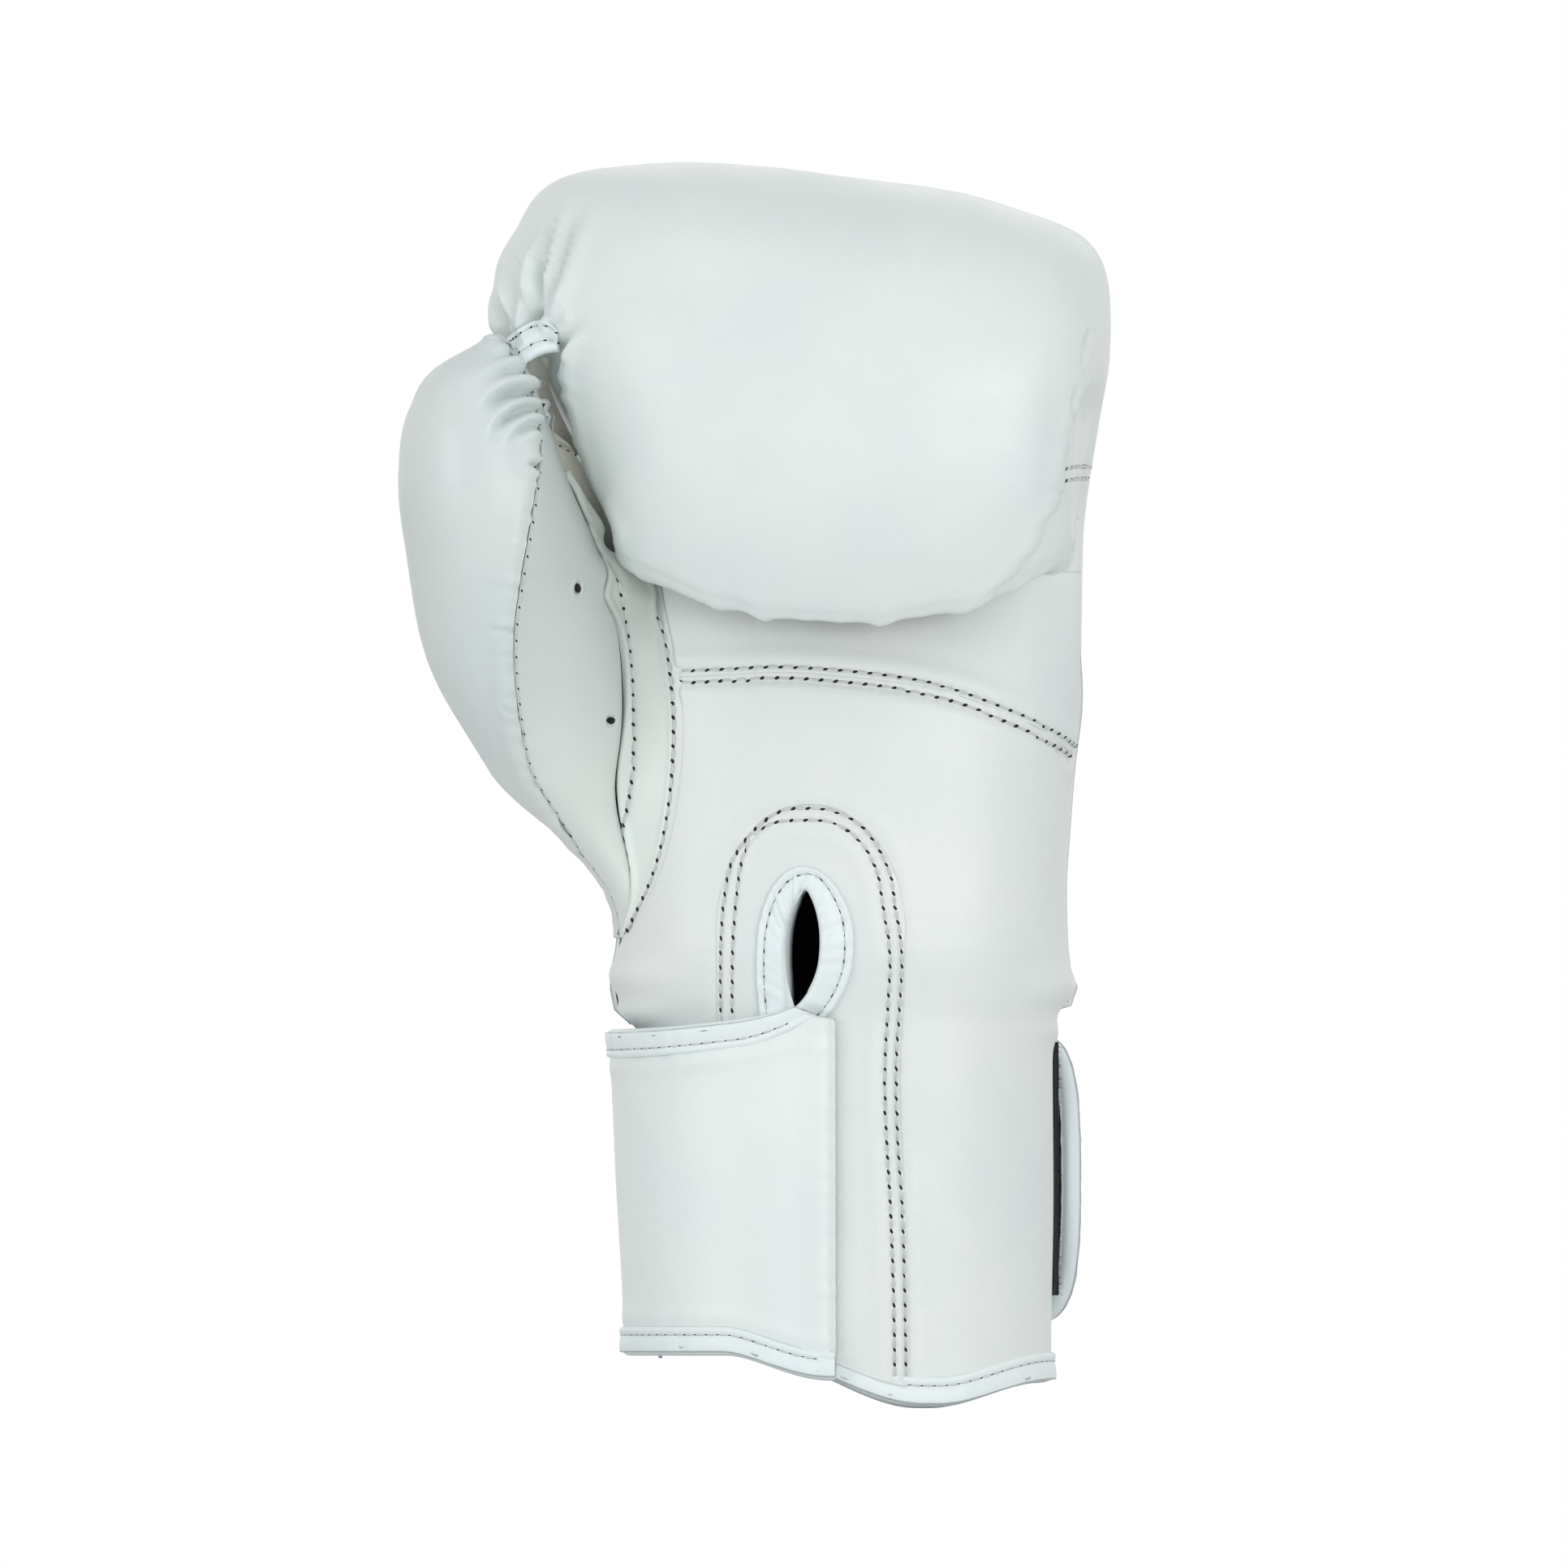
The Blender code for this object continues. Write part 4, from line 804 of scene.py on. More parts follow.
def bead_template():
    """A flattened round body with half-sizes of 1."""
    sides = 8
    turn = full_turn(sides)
    points = []
    for tilt in np.radians((-72.0, -30.0, 10.0, 42.0, 74.0)):
        points += [(np.cos(tilt) * np.cos(t), np.cos(tilt) * np.sin(t), np.sin(tilt)) for t in turn]
    quads = grid_quads(5, sides, closed=True)
    last = 4 * sides
    low = [(0, 3, 2, 1), (0, 7, 4, 3), (4, 7, 6, 5)]
    high = [(last, last + 1, last + 2, last + 3), (last, last + 3, last + 4, last + 7)]
    high.append((last + 4, last + 5, last + 6, last + 7))
    return np.array(points), np.concatenate([quads, low, high])


THREAD_SHAPE = thread_template()
BEAD_SHAPE = bead_template()
SEWING = {}
STITCH_PITCH = 3.6


def stamp(group, template, origins, forward, up, sizes):
    """Copies of a small shape, turned along forward and up, added to a group that becomes one piece."""
    points, quads = template
    side = unit(np.cross(up, forward))
    up = np.cross(forward, side)
    axes = np.stack([forward, side, up], axis=1)
    sizes = np.broadcast_to(np.asarray(sizes, float), (len(origins), 3))
    placed = origins[:, None, :] + np.einsum("nk,pk,nkj->npj", sizes, points, axes)
    parts = SEWING.setdefault(group, [])
    first = sum(len(part[0]) for part in parts)
    shifted = quads[None] + (first + np.arange(len(origins)) * len(points))[:, None, None]
    parts.append((placed.reshape(-1, 3), shifted.reshape(-1, 4)))


def stitch_count(line, pitch):
    return max(int(round(length_of(line) / pitch)), 1)


def sew(group, line, normals, pitch=STITCH_PITCH, hole=1.5, thread=0.36, slant=32.0, slim=0.29):
    """A row of stitches along a line on a surface: a thread between each two needle holes."""
    run = run_of(line)
    at = np.linspace(0.0, run[-1], stitch_count(line, pitch) + 1)
    pins = at_places(at, run, line)
    ups = unit(at_places(at, run, normals))
    forward = pins[1:] - pins[:-1]
    length = np.linalg.norm(forward, axis=1, keepdims=True)
    forward = forward / length
    up = unit(ups[1:] + ups[:-1])
    middle = at_places((at[1:] + at[:-1]) / 2, run, line)
    girth = np.full_like(length, thread)
    sizes = np.concatenate([length - 0.55 * hole, girth, girth], axis=1)
    stamp(group + "_thread", THREAD_SHAPE, middle + up * 0.02, forward, up, sizes)
    ahead = np.concatenate([forward, forward[-1:]])
    side = np.cross(ups, ahead)
    lean = np.radians(slant)
    turned = np.cos(lean) * ahead + np.sin(lean) * side
    turned = unit(turned - (turned * ups).sum(axis=1, keepdims=True) * ups)
    # Painted shade: a flat black bead at each needle hole stands in for the shadow in its pit.
    stamp(group + "_holes", BEAD_SHAPE, pins, turned, ups, (0.5 * hole, slim * hole, 0.16))


def sew_on(tree, group, line, **settings):
    """A row of stitches that lies on a surface along a line near it."""
    placed, ups = settle(tree, line)
    sew(group, placed, -ups if ups[:, 1].sum() > 0 else ups, **settings)


# --- relief of the leather


def ridges(points, line, *bumps):
    """Rounded ridges and valleys that follow a line: (height, distance from it, half-width) each."""
    return bells(distance_to(points, line)[0], *bumps)


def fold_shape(gap, width):
    """A sharp valley between two soft ridges."""
    return 0.5 * bell(gap, 2.6 * width, 1.3 * width) - np.exp(-((gap / width) ** 1.7))


def groove(points, line, depth, width, ends=3.0):
    """A valley along a line, which runs out at both of its ends."""
    gap, share = distance_to(points, line)
    run = share * length_of(line)
    fade = smooth(run, 0.0, ends) * smooth(length_of(line) - run, 0.0, ends)
    return -depth * fade * bell(gap, 0.0, width)


def crease(points, line, depth, width, ends=5.0):
    """A sharp valley between two soft ridges, which runs out at both of its ends."""
    line = evenly(line, 0.5)
    line[2:-2] = (line[:-4] + line[1:-3] + line[2:-2] + line[3:-1] + line[4:]) / 5
    gap, share = distance_to(points, line)
    run = share * length_of(line)
    fade = smooth(run, -0.5, ends) * smooth(length_of(line) - run, -0.5, 3.0)
    return fade * depth * fold_shape(gap, width)


def stitched(points, line, depth=0.5):
    """The furrow that a row of stitches draws, deeper at each needle hole."""
    gap, share = distance_to(points, line)
    count = stitch_count(line, STITCH_PITCH)
    beside = (share * count - np.round(share * count)) * length_of(line) / count
    return -depth * bell(gap, 0.0, 0.75) - 0.3 * bell(np.hypot(gap, beside), 0.0, 0.75)


def ripple(run, seed, shortest=5.0, longest=14.0, waves=5):
    """An uneven wave of height about 1 along a line."""
    chance = np.random.default_rng(seed)
    total = np.zeros_like(run)
    for size in np.geomspace(shortest, longest, waves):
        total += np.cos(2 * np.pi * (run / size + chance.random())) * (0.6 + 0.4 * chance.random())
    return total / np.sqrt(waves)


def puckered(points, line, height, reach, seed, shortest=4.0, longest=11.0):
    """Small folds that run out from a sewn line."""
    gap, share = distance_to(points, line)
    run = share * length_of(line)
    return height * ripple(run, seed, shortest, longest) * np.exp(-gap / reach) * (gap < 15)


def undulating(points, height, size, seed, waves=10):
    """Slow unevenness of padded leather."""
    chance = np.random.default_rng(seed)
    total = np.zeros(points.shape[:-1])
    for _ in range(waves):
        way = chance.normal(size=3)
        way /= np.linalg.norm(way) * size * (0.7 + 0.8 * chance.random())
        total += np.cos(2 * np.pi * (points @ way + chance.random()))
    return height * total / np.sqrt(waves)


def puff(points, middle, height, spread):
    """A soft swelling about a place, or a dent where its height is negative."""
    return height * np.exp(-(((points - np.array(middle)) / np.array(spread)) ** 2).sum(axis=-1))


def flat_line(points):
    """A smooth (x, z) line in front view through given points."""
    return curve(points, 0.8)


def drawn(tree, points):
    """A smooth line through (x, z) points of the front view, laid on a surface."""
    return cast(tree, flat_line(points))[0]


# --- finished pieces


def finish_piece(made, body, slot, *nodes, fill=None):
    """Puts a piece on its body and hides the CAD nodes it stands for; its slot and its fill are not used."""
    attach(made, body)
    if nodes:
        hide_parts(*nodes)
    return made


def sheet(name, outside, inside, surface, slot, *nodes, fill=None):
    """A finished layer of the glove's body."""
    return finish_piece(layer(name, outside, inside, surface), "glove", slot, *nodes, fill=fill)


def tube_sheet(name, angle, z, near, far, *look, fill=None):
    """A finished sheet that follows the hand's tube between two depths."""
    return sheet(name, tube(angle, z, near), tube(angle, z, far), *look, fill=fill)


# --- knuckle pad

HEM_ROLL = 0.988
SKIN = 1.2
PLEAT_DEPTH = 2.0
PLEAT_WIDTH = 0.85
PLEAT_RUN_OUT = 12.0
FOAM_AT = 8.4
FOAM_ACROSS = 0.70

# Pleats of the thumb-side shoulder: depth, width, and a line in front view.
PLEATS = [
    (3.0, 0.9, [(-82.7, 277.5), (-82.5, 270.6), (-81.4, 265.9), (-80.6, 262.0), (-80.2, 256)]),
    (1.5, 0.8, [(-80.6, 270.5), (-79.6, 264.4), (-78.6, 260.0), (-78.2, 256)]),
    (1.7, 0.9, [(-79.6, 279.0), (-78.6, 272.4), (-77.6, 265.0), (-76.8, 256.5)]),
    (1.3, 0.8, [(-76.9, 277.5), (-76.1, 268.6), (-75.4, 262.4), (-75.0, 257)]),
    (3.0, 1.1, [(-70.4, 288.5), (-71.7, 279.6), (-72.9, 271.1), (-73.8, 264.7), (-73.9, 257.2)]),
    (2.2, 1.2, [(-63.4, 291.0), (-66.2, 283.8), (-68.2, 276.6), (-70.2, 269.4), (-72.0, 261.1)]),
    (0.9, 0.8, [(-66.4, 270.0), (-67.5, 266.2), (-69.0, 260.4)]),
    (1.6, 1.0, [(-62.6, 262.0), (-65.9, 258.3), (-68.4, 254.2), (-69.2, 251.0)]),
]
# The fist's dents beside the short twin rows: depth, width, and a line in front view.
RIGHT_PUCKERS = [
    (1.4, 1.3, [(60.2, 259.5), (58.6, 253.0), (60.4, 246.0)]),
    (1.2, 1.2, [(58.0, 246.0), (56.4, 240.5), (58.4, 235.0)]),
    (0.6, 1.0, [(57.0, 232.0), (55.0, 228.0), (56.0, 224.0)]),
    (0.7, 0.9, [(50.5, 222.5), (53.0, 219.5), (56.0, 218.5)]),
]
# The crown stands higher over the first knuckle, and both its shoulders are drawn in: middle,
# height and spread.
CROWN = [
    ((-66.0, 0.0, 292.0), 1.6, (10.0, 60.0, 7.0)),
    ((46.0, 0.0, 287.0), -1.6, (15.0, 60.0, 9.0)),
    ((-78.0, -4.0, 283.0), -1.7, (7.0, 40.0, 6.5)),
]
# Pointed corners of the hem: place across, height and half-width.
HEM_POINTS = [(-52.0, 0.7, 2.2), (-32.6, 1.5, 2.4), (-20.6, 2.0, 2.3), (9.8, 2.3, 2.3), (30.2, 1.6, 2.6)]
HEM_POINTS += [(44.5, 0.7, 2.0), (51.5, 0.8, 2.0)]
# The edges of the curled lobe in front view, as (z, x): beside the thumb, past which the fist's flank
# is drawn in, and the stepped edge on the little-finger side.
LIP_THUMB = [(206.0, -55.6), (211.8, -56.4), (218.0, -59.4), (224.3, -62.2), (233.4, -65.1), (243.8, -67.6)]
LIP_THUMB += [(251.7, -68.3), (259.2, -66.6)]
LIP_LITTLE = [(190.0, 29.8), (193.0, 33.0), (198.5, 38.5), (203.0, 43.0), (208.0, 46.4), (213.0, 49.2)]
LIP_LITTLE += [(218.6, 53.0), (226.0, 54.3), (236.9, 56.6), (248.0, 60.5)]
LIP_BUMPS = ((0.9, 247.5, 1.6), (0.9, 242.8, 1.5), (0.63, 232.0, 2.0), (0.45, 222.0, 2.5))
# The side each lip is on, its line, where it begins and ends in z, where it ends in y, the height of
# its roll, and the depth and softness of the step past it.
LIPS = [
    (-1, LIP_THUMB, (205.0, 210.0), (254.0, 260.0), (-20.0, -8.0), 0.7, 3.2, 2.2),
    (1, LIP_LITTLE, (190.0, 195.0), (238.0, 248.0), (-16.0, -4.0), 0.5, 1.7, 2.4),
]
# The rolls at both sides of the wrist: place and reach across, and bells by height.
WRIST_ROLLS = [
    (-53.0, 9.0, ((3.0, 103.0, 5.0), (4.8, 94.6, 3.2))),
    (53.0, 8.0, ((2.4, 101.0, 4.5), (1.6, 91.0, 3.5))),
]


def hem_point(x):
    """How far the hem's edge hangs down: little pointed corners, where its seam allowances end."""
    total = sum(height * np.exp(-(np.abs(x - middle) / half) ** 1.25) for middle, height, half in HEM_POINTS)
    return total + 0.16 * ripple(x, 12, 7.0, 19.0)


def lobe_lip(points):
    """The rolled lips along both edges of the lobe, and the steps down past them."""
    x, y, z = points[..., 0], points[..., 1], points[..., 2]
    total = np.zeros_like(x)
    for side, line, begin, end, round_the_side, roll, depth, soft in LIPS:
        uneven = bells(z, *LIP_BUMPS) if side < 0 else 0.5 * ripple(z, 17, 5.0, 12.0)
        past = side * (x - through(z, line)) - uneven
        here = smooth(z, *begin) * (1.0 - smooth(z, *end)) * (1.0 - smooth(y, *round_the_side))
        total += here * (roll * bell(past, -2.0, 1.6) - depth * smooth(past, -0.4, soft))
    return total


def side_roll(points):
    """The soft rolls at both sides of the wrist, just over the strap, and the slimmer hand above them."""
    x, z = points[..., 0], points[..., 2]
    rolls = sum(bells(z, *by_height) * bell(x, place, reach) for place, reach, by_height in WRIST_ROLLS)
    return rolls - 1.5 * smooth(x, 44.0, 57.0) * smooth(z, 106.0, 130.0) * (1.0 - smooth(z, 236.0, 262.0))


def pleat_folds(points, normal):
    """The pleats, drawn in front view and blurred a little; they fade where the leather turns away."""
    flat = points * np.array([1.0, 0.0, 1.0])
    folds = np.zeros(points.shape[:2])
    for depth, width, drawing in PLEATS:
        line = flat_line(drawing)
        line = xyz(line[:, 0], 0.0, line[:, 1])
        folds += crease(flat, line, PLEAT_DEPTH * depth, PLEAT_WIDTH * width, PLEAT_RUN_OUT)
    folds[1:-1] = (folds[:-2] + 2 * folds[1:-1] + folds[2:]) / 4
    folds[:, 1:-1] = (folds[:, :-2] + 2 * folds[:, 1:-1] + folds[:, 2:]) / 4
    return smooth(-normal[..., 1], 0.04, 0.30) * folds


def knuckle_relief(outer, normal, along):
    """Height of the knuckle leather over its smooth shape."""
    tree = tree_of(outer)
    x = outer[..., 0]
    height = undulating(outer, 0.22, 60.0, 3)
    height += undulating(outer, 0.10, 24.0, 4) * smooth(along, 0.4, 0.6)
    height += pleat_folds(outer, normal)
    for swell in CROWN:
        height += puff(outer, *swell)
    # Puckers that run up from the hem, deepest where a notch draws the edge in.
    gap, _ = distance_to(outer, outer[-1, ::3], 24.0)
    height += 0.22 * hem_point(x) * np.exp(-gap / 4.0)
    height += 0.12 * ripple(x, 11, 5.0, 12.0) * np.exp(-gap / 4.5)
    height -= 0.7 * bell(gap, 0.0, 1.6)
    # A rounded roll at the wrist, over the cuff.
    low = outer[..., 2] - PAD_BOTTOM
    height += 1.5 * np.sin(np.pi * np.clip(low / 9.0, 0.0, 1.0)) ** 0.8
    height -= 0.9 * bell(low, 0.0, 1.3) + 2.4 * bell(low, 0.0, 2.6) * smooth(x, 40.0, 50.0)
    # Small folds along both side seams.
    for column, seed in ((0, 21), (-1, 22)):
        height += puckered(outer, outer[::2, column], 0.5, 4.5, seed, 4.0, 12.0) * smooth(along, 0.1, 0.3)
    for depth, width, line in RIGHT_PUCKERS:
        height += groove(outer, drawn(tree, line), depth, width)
    return height + (lobe_lip(outer) + side_roll(outer))


def make_knuckle_leather():
    across = spans((-PAD_EDGE, -0.60, 96), (-0.60, 0.66, 58), (0.66, PAD_EDGE, 34))[None, :]
    along = spans((0.0, 0.49, 38), (0.49, 0.82, 128), (0.82, HEM_ROLL, 62))[:, None]
    outer, inner = pad_surfaces(across, along)
    outward = outer - inner
    normal = grid_normals(outer, outward)
    outside = outer + normal * knuckle_relief(outer, normal, along)[..., None]

    # The hem's edge wraps over the end of the pad and is sewn to the lining.
    tangent = unit(outer[-1] - outer[-3])
    push = smooth(along, 0.90, HEM_ROLL) ** 2
    outside += tangent[None] * (hem_point(outer[-1, :, 0])[None, :] * push)[..., None]
    radius = (outer[-1] - inner[-1]) / 2
    reach = np.linalg.norm(radius, axis=-1, keepdims=True)
    middle = outside[-1] - radius
    roll = []
    for turn in np.linspace(0.0, np.pi, 15)[1:]:
        roll.append(middle + radius * np.cos(turn) + tangent * reach * 0.95 * np.sin(turn))
    roll += [roll[-1] - tangent * step for step in (1.5, 3.0, 5.0, 8.0, 12.0)]
    roll = np.array(roll)
    outside = np.concatenate([outside, roll])
    every = grid_normals(outside, np.concatenate([outward, roll - middle[None] + radius[None] * 0.01]))
    tree = tree_of(outside)
    for lift in (0.0, ROW_GAP):
        row = [(x, z + lift) for x, z in ((53.4, 222.8), (56.4, 223.3), (59.4, 223.2))]
        sew_on(tree, "glove", drawn(tree, row))
    inside = outside - every * SKIN
    sheet("knuckle_leather", outside, inside, WHITE_LEATHER, "white_leather", "knuckle_cover", fill=0.9)
    return outside


def make_pad_insides():
    """Three folded foam sheets and the cloth of the hand compartment."""
    across = sideways(-PAD_EDGE, PAD_EDGE, 56)
    outer, inner = pad_surfaces(FOAM_ACROSS * across, down(0.0, 0.985, 90))
    thickness = np.linalg.norm(inner - outer, axis=-1, keepdims=True)
    step = (inner - outer) / thickness
    share = np.maximum((thickness - FOAM_AT - LINING - 3 * SEAT - 0.4) / 3, 0.15)
    for number, name in enumerate(("outer_foam", "middle_foam", "inner_foam")):
        near = np.minimum(FOAM_AT + number * (share + SEAT), thickness - 1.9)
        far = np.minimum(near + share, thickness - 1.5)
        sheet(name + "_sheet", outer + step * near, outer + step * far, FOAM, "foam", name, fill=1.0)
    outer, inner = pad_surfaces(across, down(0.0, 1.0, 90))
    step = unit(inner - outer)
    wave = undulating(inner, 0.12, 22.0, 8)[..., None]
    near, far = inner - step * (LINING + wave), inner - step * wave
    sheet("finger_lining_cloth", near, far, LINING_CLOTH, "lining", "finger_lining")


# --- palm

# Lines in front view: the seam between the two palm panels, and the facing's rows of stitches.
ARC_SEAM = [(-39.8, 175.7), (-29, 176.2), (-16.6, 176.8), (-0.6, 175.9), (13.3, 174.2)]
ARC_SEAM += [(25.7, 171.5), (37.2, 167.2), (46.4, 163.1), (56.2, 157.3)]
U_ROW = [(-29.4, 86.0), (-29.4, 94.2), (-29.4, 105.7), (-28.5, 121.7), (-26.9, 132.4), (-24.6, 138.4)]
U_ROW += [(-18.5, 142.8), (-9.75, 144.0), (-2.0, 143.2), (4.0, 139.8), (10.3, 129.9), (12.1, 120.5)]
U_ROW += [(13.7, 109), (13.3, 97.7), (12.5, 82.7), (12.7, 67.9), (13.8, 48.4), (14.4, 31.2), (14.8, 7.0)]
ROW_GAP = 2.9
PALM_TURN = 178.4
# Swellings of the palm: middle, height and spread.
PALM_SWELLS = [
    ((33.0, -40.0, 120.0), 1.3, (15.0, 30.0, 42.0)),
    ((-38.0, -40.0, 112.0), 0.9, (9.0, 30.0, 16.0)),
    ((-5.0, -40.0, 190.0), 0.8, (34.0, 30.0, 12.0)),
]
LONG_SEAM = CUFF_TOP + 1.0, PALM_TOP, 120
CUFF_SEAM = 12.0, CUFF_TOP + 2.0, 40
# Strips of leather under the seams: name, foot, top, rows, start and end angle, columns, outer and
# inner depth, and whether the strip follows the rolls at the wrist's sides.
UNDERLAYS = [
    ("gusset_seam_underlay", *LONG_SEAM, -3.4, 3.4, 14, 0.2, 1.5, True),
    ("thumb_foot_underlay", CUFF_TOP + 1.0, 158.0, 60, 171.0, 189.0, 28, 0.3, 1.5, True),
    ("side_seam_underlay", *LONG_SEAM, -SIDE_LIP - 3.0, SIDE_LIP + 3.0, 14, 0.5, 1.5, True),
    ("side_corner_underlay", PALM_TOP - 24.0, PALM_TOP + 13.0, 40, -22.0, 20.0, 44, 1.6, 2.8, False),
    ("thumb_corner_underlay", 184.0, PALM_TOP + 13.0, 40, 156.0, 187.0, 40, 2.2, 3.2, False),
    ("cuff_seam_underlay_little", *CUFF_SEAM, -SIDE_LIP - 2.0, SIDE_LIP + 4.0, 16, 0.4, 1.15, False),
    ("cuff_seam_underlay_thumb", *CUFF_SEAM, 174.0, 184.0, 16, 0.4, 1.15, False),
    ("wrist_underlay", CUFF_TOP - 5.0, CUFF_TOP + 9.0, 16, 3.0, 177.0, 120, 1.6, 2.8, False),
]


def offset_line(line, distance):
    """The same (x, z) line, moved to its right-hand side."""
    way = unit(np.gradient(line, axis=0))
    return line + distance * np.stack([way[:, 1], -way[:, 0]], axis=1)


def drawn_beside(tree, points, distance):
    """A drawn line on a surface, moved to its right-hand side in front view."""
    return cast(tree, offset_line(flat_line(points), distance))[0]


def palm_rows(rows, columns, top, foot):
    """Angles and heights over the palm, evenly spread; top is a function of x and foot one of the angle."""
    share = sideways(0.0, 1.0, columns)
    climb = down(0.0, 1.0, rows)
    angle = PALM_START + PALM_TURN * share + 0 * climb
    for _ in range(6):
        low = foot(angle)
        z = low + (top(tube(angle, 100.0)[..., 0]) - low) * climb
        start = palm_edge(z)
        angle = start + (360.0 - SIDE_LIP - start) * even_share(share, z)
    return angle, z


def even_share(share, z):
    """Shares of the palm's angles whose points are about evenly spaced."""
    grid = np.linspace(0.0, 1.0, 400)
    run = run_of(tube(PALM_START + PALM_TURN * grid, 120.0))
    return np.interp(share, run / run[-1], grid) + 0 * z


def palm_relief(points, tree):
    """Height of the palm leather over its smooth shape."""
    height = undulating(points, 0.16, 48.0, 31) + side_roll(points)
    for swell in PALM_SWELLS:
        height += puff(points, *swell)
    height += ridges(points, drawn(tree, ARC_SEAM), (-0.30, 0.0, 0.5), (0.22, 0.75, 0.6), (0.35, 4.3, 2.4))
    for side in (-0.5, 0.5):
        height += stitched(points, drawn_beside(tree, ARC_SEAM, side * ROW_GAP))
    return height


def make_palm_leather():
    """The two palm panels and their outer points, not finished yet, and the smooth palm under them."""

    def arc(x):
        return through(x, ARC_SEAM)

    def palm_top(_):
        return PALM_TOP

    tree = tree_of(tube(*palm_rows(60, 90, palm_top, cuff_edge)))
    panels = {}
    for name, rows, top, foot in (
        ("lower", 190, lambda x: arc(x) + 0.1, lambda a: cuff_edge(a) + BINDING + SEAT),
        ("upper", 62, palm_top, lambda a: arc(tube(a, 150.0)[..., 0]) - 0.1),
    ):
        angle, z = palm_rows(rows, 230, top, foot)
        points = tube(angle, z)
        height = palm_relief(points, tree)
        if name == "lower":
            row = drawn(tree, U_ROW)
            height += ridges(points, row, (-0.2, 0.0, 1.6), (0.25, 3.6, 2.0))
            height += puckered(points, row, 0.10, 3.0, 41)
        height -= 0.6 * bell(np.minimum(angle - palm_edge(z), 360.0 - SIDE_LIP - angle), 0.0, 0.9)
        outside, inside = tube(angle, z, -height), tube(angle, z, SKIN - height)
        panels[name] = layer(f"palm_leather_{name}", outside, inside, PALM_LEATHER), outside
    return tree, panels


def make_palm_insides():
    angle, z = palm_rows(60, 60, lambda x: PALM_TOP, lambda a: CUFF_TOP + 0.4)
    sink = np.maximum(-side_roll(tube(angle, z)), 0.0)
    foam, lining = LEATHER + SEAT + sink, PALM_WALL - LINING + sink
    look = LINING_CLOTH, "lining", "palm_lining"
    return [
        tube_sheet("palm_foam_sheet", angle, z, foam, foam + PALM_FOAM, FOAM, "foam", "palm_foam", fill=1.0),
        tube_sheet("palm_lining_sheet", angle, z, lining, lining + LINING, *look),
    ]


def make_seam_underlays():
    for name, foot, top, rows, start, end, columns, near, far, rolled in UNDERLAYS:
        z = down(foot, top, rows)
        angle = (palm_edge(z) if name.startswith("gusset") else 0.0 * z) + sideways(start, end, columns)
        raised = side_roll(tube(angle, z)) if rolled else 0.0
        tube_sheet(name, angle, z, near - raised, far - raised, PALM_LEATHER, "white_leather")


def make_grip_roll():
    z = PALM_TOP - GRIP_RADIUS
    turn = full_turn(40)
    rings = []
    for share in np.linspace(-1.0, 1.0, 61):
        x = GRIP_HALF_LENGTH * share
        middle = float(palm_point(x, z, -PALM_WALL)[1]) + GRIP_RADIUS + 0.3
        wrinkle = GRIP_RADIUS * np.sqrt(1.0 - 0.86 * share**6) - 0.12 - 0.12 * np.cos(9 * turn + 11 * share)
        rings.append(xyz(x, middle + wrinkle * np.cos(turn), z + wrinkle * np.sin(turn)))
    made = swept("grip_roll", np.array(rings), LINING_CLOTH)
    finish_piece(made, "glove", "foam", "grip_bar", fill=1.0)


# --- thumb

TIP_ROWS = 7
FOLD_DEPTH = 1.5
# The webs between thumb and fist: name, foot, top, how far back they start from the thumb's edge, and
# where round the thumb that edge is.
WEBS = [("upper", 229.0, 252.5, 1.0, 0.055), ("lower", 199.0, 235.5, -1.4, 0.045)]
WEB_ROWS = 90
WEB_ROW_AT = 0.90
WEB_SAG = 3.52
WEB_SEAM = [(-73.0, 253.0), (-71.4, 250.0), (-69.6, 247.6), (-67.6, 245.6)]
# Folds that run out from the thumb's long seam: depth, width, and a line in front view.
THUMB_FOLDS = [
    (2.3, 1.1, [(-74.0, 242.8), (-77.0, 243.9), (-80.5, 243.6), (-84.5, 241.6), (-88.5, 238.0)]),
    (2.0, 1.0, [(-73.4, 239.2), (-76.5, 239.9), (-79.5, 238.6), (-82.5, 236.0), (-85.5, 231.5)]),
    (1.5, 0.9, [(-73.0, 235.6), (-75.5, 236.2), (-78.5, 234.6), (-81.0, 231.8)]),
    (1.8, 0.7, [(-72.6, 224.3), (-73.4, 226.2), (-75.0, 226.9), (-77.2, 226.6)]),
    (1.3, 1.0, [(-75.6, 248.0), (-79.0, 249.2), (-83.0, 248.8), (-87.0, 246.6)]),
    (0.8, 0.9, [(-77.5, 254.0), (-81.0, 253.0), (-85.0, 252.6)]),
    (0.5, 0.6, [(-79.0, 186.3), (-82.5, 186.9), (-87.0, 187.4)]),
    (0.4, 0.5, [(-78.6, 166.5), (-81.5, 168.4), (-84.0, 170.6)]),
]
# Vent holes: x, z, half-width and half-height.
VENTS = [(-63.8, 197.0, 0.85, 1.4), (-56.0, 165.2, 1.25, 1.05)]
VENT_SLANT = np.array([[-0.25, 0.0, 1.0]])
VENT_FILL = 0.92
VENT_DEPTH = 1.2
